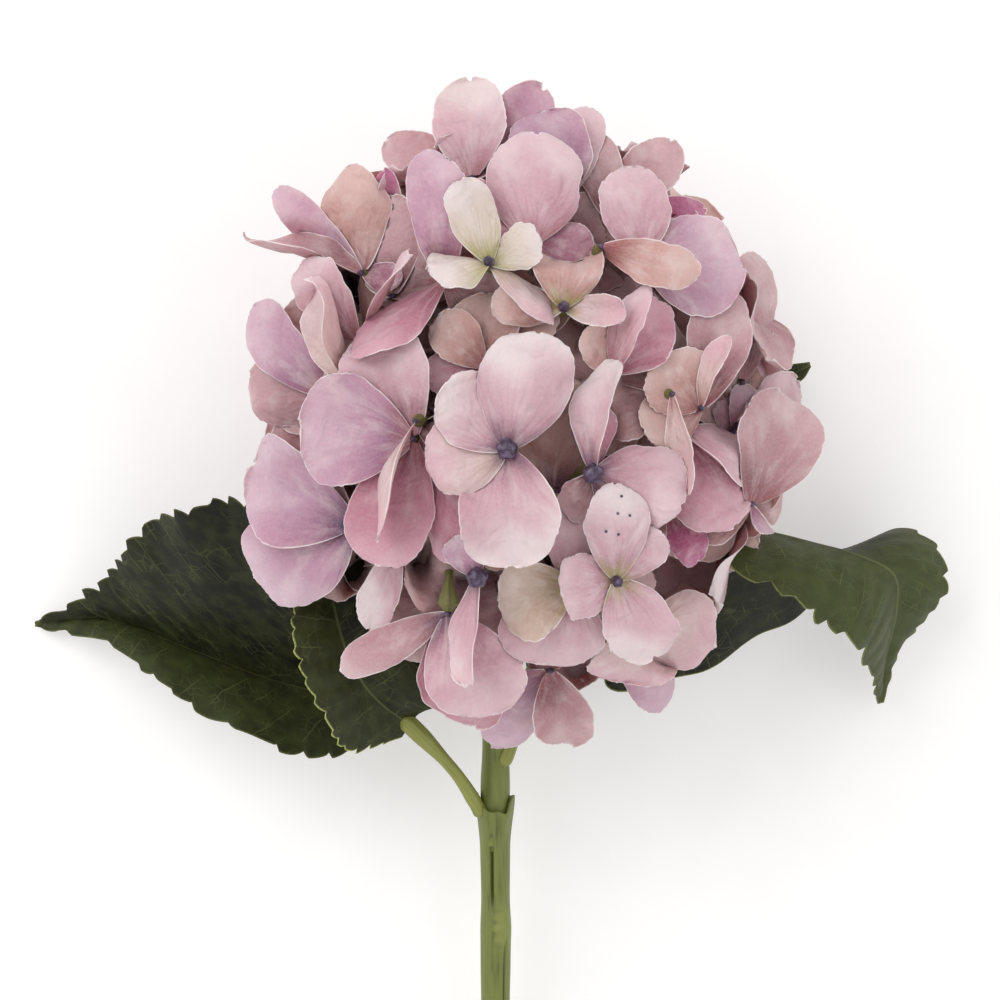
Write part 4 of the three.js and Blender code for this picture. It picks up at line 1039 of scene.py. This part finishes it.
def lower_stem_form(width):
    """The lower stem, from its cut end to a wavy, widened mouth with the thickness of its wall."""
    sides = 128
    angle = round_angles(sides)
    cut = [0.0, 0.25]
    shaft = np.linspace(0.9, MOUTH_REACH - 9, 150)
    outer = np.concatenate([cut, shaft, np.linspace(MOUTH_REACH - 8.7, MOUTH_REACH, 24)])[:, None]
    relief = lower_stem_relief(angle, outer)
    flare = smooth(MOUTH_REACH - 8.5, MOUTH_REACH - 0.5, outer) ** 1.4
    lip = 1.5 * flare * (1 + 0.2 * np.cos(2 * angle + 0.6))
    radius = width / 2 + relief + lip
    radius[0] -= 0.4
    wave = 4.2 - 1.7 * np.cos(2 * angle) + 0.5 * np.sin(3 * angle - 0.5) - 2.4 * groove(angle, 0.6, 0.3)
    reach = outer + smooth(MOUTH_REACH - 8, MOUTH_REACH, outer) * wave
    bore = np.ones(sides)
    wall = [
        (radius[-1] - 0.35, reach[-1] + 0.15),
        (radius[-1] - 0.75, reach[-1] - 0.2),
        (bore * (width / 2 - 0.35), reach[-1] - 2.6),
        (bore * (width / 2 - 0.6), bore * (MOUTH_REACH - 8.5)),
    ]
    radius = np.vstack([radius, *(row for row, _ in wall)])
    reach = np.vstack([reach, *(row for _, row in wall)])
    # the inner wall is given a sunk relief only for its colour, which paints shade inside the mouth
    relief = np.vstack([relief, np.full((len(wall), sides), -0.3)])
    return *tube(STEM, reach, radius), run_marks(reach, relief)


def upper_stem_form(width):
    """The upper stem, from inside the lower one's mouth up into the head."""
    start, sides, rings = MOUTH_REACH - 7, 48, 60
    reach = np.linspace(start, STEM.length + 1, rings)[:, None]
    angle = round_angles(sides)
    relief = -0.35 * groove(angle, -0.5, 0.3) * smooth(start + 9, start + 16, reach)
    relief = relief - 0.3 * groove(angle, 2.6, 0.4)
    relief = relief + 0.12 * np.sin(2 * angle + 0.16 * reach) + 0.08 * np.sin(0.45 * reach)
    tubing = tube(STEM, np.minimum(reach, STEM.length), width / 2 + relief)
    return *tubing, run_marks(reach, relief, 3.3)


class HYDRANGEA_OT_stems(Operator):
    """Make the lower and the upper stem"""

    bl_idname = "hydrangea.stems"
    bl_label = "Stems"

    def execute(self, context):
        settings = context.scene.hydrangea.stem
        green = moulded_green("stem_polyethylene_moulded", "#71783a", "#4f5526", "#848a47", 0.46)
        forms = {
            "lower_stem": lower_stem_form(settings.lower_width / MM),
            "upper_stem": upper_stem_form(settings.upper_width / MM),
        }
        for name, (verts, faces, marks) in forms.items():
            hand_over(link(f"{name}_moulding", verts, faces, [green], None, marks), "stem", name)
        return {"FINISHED"}


def forked(flowers):
    """Gives each flower the fork its stalk leaves from, and returns the forks."""
    bunches = [[] for _ in BRANCH_WAYS]
    for flower in flowers:
        way = unit(flower["eye"] - KNOT)
        bunches[int(np.argmax([np.dot(unit(branch), way) for branch in BRANCH_WAYS]))].append(flower)
    forks = []
    for bunch in filter(None, bunches):
        fork = KNOT + (np.mean([flower["eye"] for flower in bunch], axis=0) - KNOT) * FORK_SHARE
        forks.append(fork)
        for flower in bunch:
            flower["fork"] = fork
    return forks


class HYDRANGEA_OT_branches(Operator):
    """Make the branches inside the head and the flowers' own stalks"""

    bl_idname = "hydrangea.branches"
    bl_label = "Branches"

    def execute(self, context):
        settings = context.scene.hydrangea
        olive = moulded_green("branch_polyethylene_moulded", "#6c6b38", "#45382c", "#84844c", 0.5)
        flowers = laid_flowers(settings.petals)
        heap = Heap()
        for fork in forked(flowers):
            arm = Course([KNOT, (KNOT + fork) / 2 + [0, 0, 1.5], fork])
            verts, faces = round_tube(arm, settings.stem.branch_width / MM / 2, BRANCH_SIDES, BRANCH_RINGS)
            heap.add(verts, faces, 0, **even_marks(arm, np.zeros((BRANCH_RINGS, BRANCH_SIDES))))
        for flower in flowers:
            eye, facing, fork = flower["eye"], flower["facing"], flower["fork"]
            if flower["throat"] == "calyx":
                swell = 1.5
                stalk = Course([fork, *(eye + offset for offset in CALYX_STALK)])
            else:
                swell = 0.55
                back = eye - facing * 0.25 * np.linalg.norm(eye - fork)
                stalk = Course([fork, back, eye - facing * 0.4])
            widening = 1 + swell * smooth(0.8, 0.97, np.linspace(0, 1, STALK_RINGS))
            width = settings.stem.stalk_width / MM / 2 * widening
            verts, faces = round_tube(stalk, width, STALK_SIDES, STALK_RINGS)
            heap.add(verts, faces, 0, **even_marks(stalk, np.zeros((STALK_RINGS, STALK_SIDES))))
        hand_over(heap.link("flower_stalks", [olive]), "branch", "flower_branches")
        return {"FINISHED"}


# ---- Leaves ----
# A leaf is drawn by three curves from its stalk to its tip: the midrib and the margins of the halves to its
# left and right, seen from the stalk. Its stalk leaves the stem so far below the fork, on the side given,
# and bows. The entry after the stalk gives each half its painted light and shade at the stalk and at the tip,
# lighter for a half the lights fall on and darker for one in the head's shadow, and says how bare its cut
# edge is; teeth give their depth and spacing, as shares of the usual, and how far along the margin they
# begin.

LEAVES = {
    "left": {
        "left": [(-27, -57, 29), (-42, -65, 36), (-60, -61, 40), (-80, -51, 32), (-100, -37, 14),
                 (-120, -32.5, 2)],
        "rib": [(-26, -55, 30), (-45, -49, 25), (-60, -45, 21), (-79, -38, 16), (-100, -31, 8),
                (-120, -32, 2)],
        "right": [(-27, -53, 31), (-42, -20, 52), (-60, -3, 56), (-76, -1.5, 50), (-90, -7, 36),
                  (-100, -19, 18), (-109, -26, 8), (-120, -31.5, 2)],
        "stalk": (28, (-1, 0, -0.25), (0, 1, -1)),
        "finish": ((0.42, 0.5, 0.15), (0.0, 0.12, 0.15)),
        "teeth": ((0.75, 1.45, 0.0), (1.0, 0.95, 0.0)),
    },
    "front_left": {
        "left": [(-25, -60, 43), (-38, -63, 50), (-45, -52, 62), (-52, -33, 66), (-45, -10, 56)],
        "rib": [(-23, -56.5, 44), (-32, -49, 50), (-38, -40, 56), (-42, -26, 58), (-44, -10, 56)],
        "right": [(-21, -54, 44), (-14, -50, 50), (-16, -34, 52), (-26, -18, 54), (-43, -10, 56)],
        "stalk": (64, (-1, 0, 0.5), (2.2, 0, 1)),
        "finish": ((0.42, 0.5, 1.0), (0.2, 0.0, 0.25)),
        "teeth": ((0.5, 0.7, 0.0), (0.7, 1.1, 0.0)),
    },
    "right": {
        "left": [(29, -33, 35), (27, -47, 32), (44, -46, 24), (64, -36.5, 18), (83, -24, 10), (100, -8, 16),
                 (111, -11.5, 20), (114.5, -20, 20), (108, -31, 16), (102, -39, 11), (98.5, -52.5, 6)],
        "rib": [(28, -30, 36), (48, -9, 44), (64, -8, 46), (80, -11.5, 44), (91, -14.5, 41), (99.5, -19, 35),
                (100.5, -28, 27), (98.5, -40, 15), (97.5, -52.5, 6)],
        "right": [(29, -29, 38), (46, -11, 58), (54, -15, 62), (65, -20, 62), (80, -29.5, 55), (89, -36, 44),
                  (93.5, -42, 30), (97, -52.5, 6)],
        "stalk": (51, (0.5, 0, 0.87), (-6, 1, 0)),
        "finish": ((0.0, 1.0, 0.6), (0.95, 1.0, 0.35)),
        "teeth": ((0.8, 0.85, 0.5), (1.35, 1.3, 0.0)),
    },
    "back": {
        "left": [(7, -45, 14), (4, -10, 12), (32, 28, 10), (80, 35.5, 10)],
        "rib": [(8, -46, 14), (20, -16, 8), (46, 15, 6), (80, 35, 10)],
        "right": [(9, -47, 14), (36, -18, 10), (62, 8, 8), (80, 34.5, 10)],
        "stalk": (46, (0.1, 0, -1), (-1, 0, -1)),
        "finish": ((0.4, 0.4, 0.2), (0.4, 0.4, 0.2)),
        "teeth": ((0.6, 1.2, 0.0), (0.6, 1.2, 0.0)),
    },
}
LEAF_ROWS, HALF_COLUMNS = 150, 18
SLEEVE_RINGS, SLEEVE_SIDES = 44, 20
LEAF_CLEARANCE = 0.9  # of the blade's middle from the table
VEIN_SPACING = 9.0
LEFT_VEINS_FROM = 40  # keeps the left half's veins apart from the right's


class HydrangeaLeaves(PropertyGroup):
    thickness: length_property("Thickness", "Thickness of the coated cloth", 0.5)
    tooth: length_property("Tooth", "Depth of a tooth of the margin", 3.6)
    tooth_spacing: length_property("Tooth spacing", "From tooth to tooth along the margin", 6.4)
    stalk_width: length_property("Stalk", "Thickness of a leaf's plug-on stalk", 4.0)
    edge_colour: colour_property("Edge colour", "Uncoated cloth along the cut edge", "#a9b36a")


def run_along(points):
    """How far along a line of points each one lies."""
    return np.concatenate([[0], np.cumsum(np.linalg.norm(np.diff(points, axis=0), axis=1))])


def teeth(name, way, run, t, settings, rng):
    """How far the margin stands out or in at each point: a slow rise and a steep drop to each tooth."""
    depth, pitch, begin = LEAVES[name]["teeth"][way == "right"]
    spacing = settings.tooth_spacing / MM * pitch
    beat = run / spacing + 0.35 * np.sin(run * 0.13 + rng.uniform(0, ANY_PHASE)) + rng.uniform(0, 1)
    saw = np.where(beat % 1 > 0.9, (1 - beat % 1) / 0.1, np.sin((beat % 1) * math.pi / 2) ** 0.75)
    height = 0.75 + 0.5 * np.sin(np.floor(beat) * 2.4 + rng.uniform(0, 6))
    begun = smooth(begin - 0.01, begin + 0.1, t)
    return settings.tooth / MM * depth * (saw - 0.6) * height * ends_faded(t) * begun


def ends_faded(t):
    """1 over most of a leaf and 0 at its stalk and tip."""
    return smooth(0.03, 0.12, t) * (1 - smooth(0.93, 1.0, t))


def leaf_half(name, way, rib, along, t, settings, rng):
    """One half of a blade as rows of points from the midrib out to its toothed margin, how far out each lies,
    and how many side veins lie before it."""
    margin = through(LEAVES[name][way], t)
    width = np.linalg.norm(margin - rib, axis=1)[:, None]
    out = unit(margin - rib)
    face = unit(np.cross(along, out)) if way == "left" else unit(np.cross(out, along))
    run = run_along(margin)
    tooth = teeth(name, way, run, t, settings, rng)[:, None]
    share = np.sin(np.linspace(0, 1, HALF_COLUMNS + 1)[1:] * math.pi / 2)[None, :]
    span = share * width + share**9 * tooth
    # the blade swells between its side veins, arches from midrib to margin and waves along its margin
    order = (run[:, None] - 0.75 * span) / VEIN_SPACING
    fade = ends_faded(t)[:, None]
    rise = 0.55 * np.abs(np.sin(math.pi * order)) * np.sin(math.pi * np.clip(share, 0, 0.97)) * fade
    rise = rise + 0.05 * width * np.sin(math.pi * share)
    rise = rise + 0.035 * width * share**3 * np.sin(run[:, None] * 0.24 + rng.uniform(0, ANY_PHASE)) * fade
    points = rib[:, None] + out[:, None] * span[..., None] + face[:, None] * rise[..., None]
    return points, span, order


def leaf_form(name, settings):
    """A leaf's mesh, and what its material reads: the place on the blade, the veins, the edge, and each
    half's painted light and shade with how bare its cut edge is.
    """
    rng = np.random.default_rng(sum(map(ord, name)))
    t = np.linspace(0, 0.996, LEAF_ROWS)
    rib = through(LEAVES[name]["rib"], t)
    along = unit(np.gradient(rib, axis=0))
    left, left_span, left_order = leaf_half(name, "left", rib, along, t, settings, rng)
    right, right_span, right_order = leaf_half(name, "right", rib, along, t, settings, rng)
    middle = np.concatenate([left[:, ::-1], rib[:, None], right], axis=1)
    middle[..., 2] = np.maximum(middle[..., 2], LEAF_CLEARANCE)
    zero = np.zeros((LEAF_ROWS, 1))
    t = t[:, None]
    span = np.concatenate([-left_span[:, ::-1], zero, right_span], axis=1)
    order = np.concatenate([left_order[:, ::-1] + LEFT_VEINS_FROM, zero, right_order], axis=1)
    edge = np.concatenate([middle[:, 0], middle[:, -1], middle[-1]])
    rim = np.array([np.min(np.linalg.norm(row[:, None] - edge[None], axis=-1), axis=1) for row in middle])
    keel = 1.1 * np.exp(-((span / 0.9) ** 2)) * (1 - 0.7 * t)
    verts, faces = sheet(middle, settings.thickness / MM * (0.6 + 0.4 * smooth(0, 1, rim)) + keel)
    half = smooth(-2.5, 2.5, span)
    # each half's painted light and shade runs from its value at the stalk to its value at the tip; bare is
    # how pale its cut edge shows
    start, end, bare = (a * (1 - half) + b * half for a, b in zip(*LEAVES[name]["finish"]))
    onward = smooth(0.42, 0.62, t)
    layers = {
        "blade": (span, run_along(rib)[:, None], len(name) * 30.0),
        "vein": (order, np.abs(span), t),
        "finish": (start * (1 - onward) + end * onward, bare, half),
    }
    marks = {"rim": np.tile(rim.ravel(), 2)}
    for key, parts in layers.items():
        marks[key] = np.tile(np.stack(np.broadcast_arrays(*parts), axis=-1).reshape(-1, 3), (2, 1))
    return verts, faces, marks


class HYDRANGEA_OT_leaves(Operator):
    """Make the toothed, veined leaves"""

    bl_idname = "hydrangea.leaves"
    bl_label = "Leaves"

    def execute(self, context):
        settings = context.scene.hydrangea.leaves
        cloth = coated_leaf(settings)
        for name in LEAVES:
            verts, faces, marks = leaf_form(name, settings)
            blade = link(f"leaf_{name}_blade", verts, faces, [cloth], None, marks, 60)
            hand_over(blade, "leaf", f"leaf_{name}")
        return {"FINISHED"}


class HYDRANGEA_OT_leaf_stalks(Operator):
    """Make the plug-on stalks of the leaves"""

    bl_idname = "hydrangea.leaf_stalks"
    bl_label = "Leaf stalks"

    def execute(self, context):
        scene = context.scene.hydrangea
        pale = moulded_green("leaf_stalk_polyethylene_moulded", "#878b44", "#62672e", "#9fa05b", 0.48)
        radius = scene.leaves.stalk_width / MM / 2
        for name, leaf in LEAVES.items():
            below, side, bow = leaf["stalk"]
            root, end = through(leaf["rib"], np.array([0.0, 0.05]))
            stem = STEM.at(STEM.length - below)
            foot = stem + unit(side) * (scene.stem.upper_width / MM / 2 - radius * 0.15)
            middle = foot + (end - foot) * 0.45 + np.array(bow, float)
            course = Course([foot, middle, root, end])
            share = np.linspace(0, 1, SLEEVE_RINGS)[:, None]
            near_end = np.minimum(share, 1 - share * 0.999) * course.length
            swell = 1.0 - 0.16 * smooth(0.1, 0.45, share) + 0.42 * smooth(0.5, 0.85, share)
            profile = rounded(radius, near_end, 0.9, 0.12) * swell
            angle = round_angles(SLEEVE_SIDES)
            rings = 0.1 * np.sin(share * 40) * (1 - smooth(0.05, 0.3, share))
            relief = 0.14 * np.cos(2 * angle) + rings - 0.2 * groove(angle, 0, 0.5)
            radii = profile + relief * np.minimum(profile / radius, 1)
            verts, faces = tube(course, share * course.length, radii)
            sleeve = link(f"leaf_stalk_{name}_sleeve", verts, faces, [pale], None, even_marks(course, relief))
            hand_over(sleeve, "leaf_stalk", f"leaf_stalk_{name}")
        return {"FINISHED"}


# ---- Stage ----

FLOOR_SIDE = 6.0
SKY_STRENGTH = 0.84
# Each light's place from the head, the side of its square panel and its power.
LIGHTS = {
    "key": ((-0.9, 0.8, 1.5), 1.3, 13.0),
    "fill": ((1.1, -0.2, 1.3), 1.4, 3.0),
}
CAMERA_ABOVE_HEAD = 2.0
LENS = 288.0
SENSOR = 36.0


class HYDRANGEA_OT_stage(Operator):
    """Lay the pale, faintly lit floor, hang the soft lights and set the camera looking straight down"""

    bl_idname = "hydrangea.stage"
    bl_label = "Stage"

    def execute(self, context):
        scene = context.scene
        material, add, wear = new_material(
            "floor_acrylic_lit", Roughness=0.95, Specular_IOR_Level=0.1, Emission_Strength=0.42
        )
        cells = add("TexCoord")["Object"]
        grain = add("TexNoise", {"Vector": cells, "Scale": 1 / (FLOOR_GRAIN * MM), "Detail": 4.0})["Fac"]
        colour = add("Mix", {0: grain, 6: linear("#dcdbda"), 7: linear("#e2e1e0")}, **OF_COLOURS)[2]
        wear(Base_Color=colour, Emission_Color=colour)
        half = FLOOR_SIDE / 2
        mesh = bpy.data.meshes.new("floor")
        corners = [(-half, -half, 0), (half, -half, 0), (half, half, 0), (-half, half, 0)]
        mesh.from_pydata(corners, [], [range(4)])
        mesh.materials.append(material)
        floor = bpy.data.objects.new("floor", mesh)
        scene.collection.objects.link(floor)

        scene.world = bpy.data.worlds.new("soft_studio")
        scene.world.use_nodes = True
        sky = scene.world.node_tree.nodes["Background"]
        sky.inputs["Color"].default_value = (1.0, 1.0, 1.0, 1.0)
        sky.inputs["Strength"].default_value = SKY_STRENGTH
        head = (HEAD_CENTRE + ORIGIN) * MM
        for name, (offset, side, power) in LIGHTS.items():
            lamp = bpy.data.lights.new(name, "AREA")
            lamp.size = side
            lamp.energy = power
            holder = bpy.data.objects.new(name, lamp)
            holder.location = head + np.array(offset)
            x, y, z = offset
            holder.rotation_euler = (math.atan2(math.hypot(x, y), z), 0, math.atan2(-x, y) + math.pi)
            scene.collection.objects.link(holder)

        view = bpy.data.cameras.new("camera")
        view.lens = LENS
        view.sensor_width = SENSOR
        view.clip_end = 20.0
        camera = bpy.data.objects.new("camera", view)
        camera.location = (ORIGIN[0] * MM, ORIGIN[1] * MM, CAMERA_ABOVE_HEAD + HEAD_CENTRE[2] * MM)
        scene.collection.objects.link(camera)
        scene.camera = camera
        scene.view_settings.view_transform = "Standard"
        return {"FINISHED"}


class HydrangeaSettings(PropertyGroup):
    petals: PointerProperty(name="Petals", description="The petals' sizes and colours", type=HydrangeaPetals)
    stem: PointerProperty(name="Stem", description="Sizes of the stems and stalks", type=HydrangeaStem)
    leaves: PointerProperty(name="Leaves", description="The leaves' sizes and colours", type=HydrangeaLeaves)


class HYDRANGEA_PT_panel(Panel):
    """The hydrangea's sizes, colours and makers"""

    bl_idname = "HYDRANGEA_PT_panel"
    bl_label = "Hydrangea"
    bl_space_type = "VIEW_3D"
    bl_region_type = "UI"
    bl_category = "Hydrangea"

    def draw(self, context):
        settings = context.scene.hydrangea
        for group in (settings.petals, settings.stem, settings.leaves):
            box = self.layout.box()
            for name in group.__annotations__:
                box.prop(group, name)
        for step in STEPS:
            self.layout.operator(step.bl_idname)


STEPS = (HYDRANGEA_OT_stage, HYDRANGEA_OT_stems, HYDRANGEA_OT_branches, HYDRANGEA_OT_leaf_stalks,
         HYDRANGEA_OT_leaves, HYDRANGEA_OT_flowers)
CLASSES = (HydrangeaPetals, HydrangeaStem, HydrangeaLeaves, HydrangeaSettings, *STEPS, HYDRANGEA_PT_panel)


def register():
    """Adds the settings, the operators and the panel."""
    for cls in CLASSES:
        bpy.utils.register_class(cls)
    bpy.types.Scene.hydrangea = PointerProperty(type=HydrangeaSettings)


def unregister():
    """Takes them away again."""
    del bpy.types.Scene.hydrangea
    for cls in reversed(CLASSES):
        bpy.utils.unregister_class(cls)


def main():
    """Makes the whole object and its stage."""
    register()
    for step in STEPS:
        family, name = step.bl_idname.split(".")
        getattr(getattr(bpy.ops, family), name)()


if __name__ == "__main__":
    main()
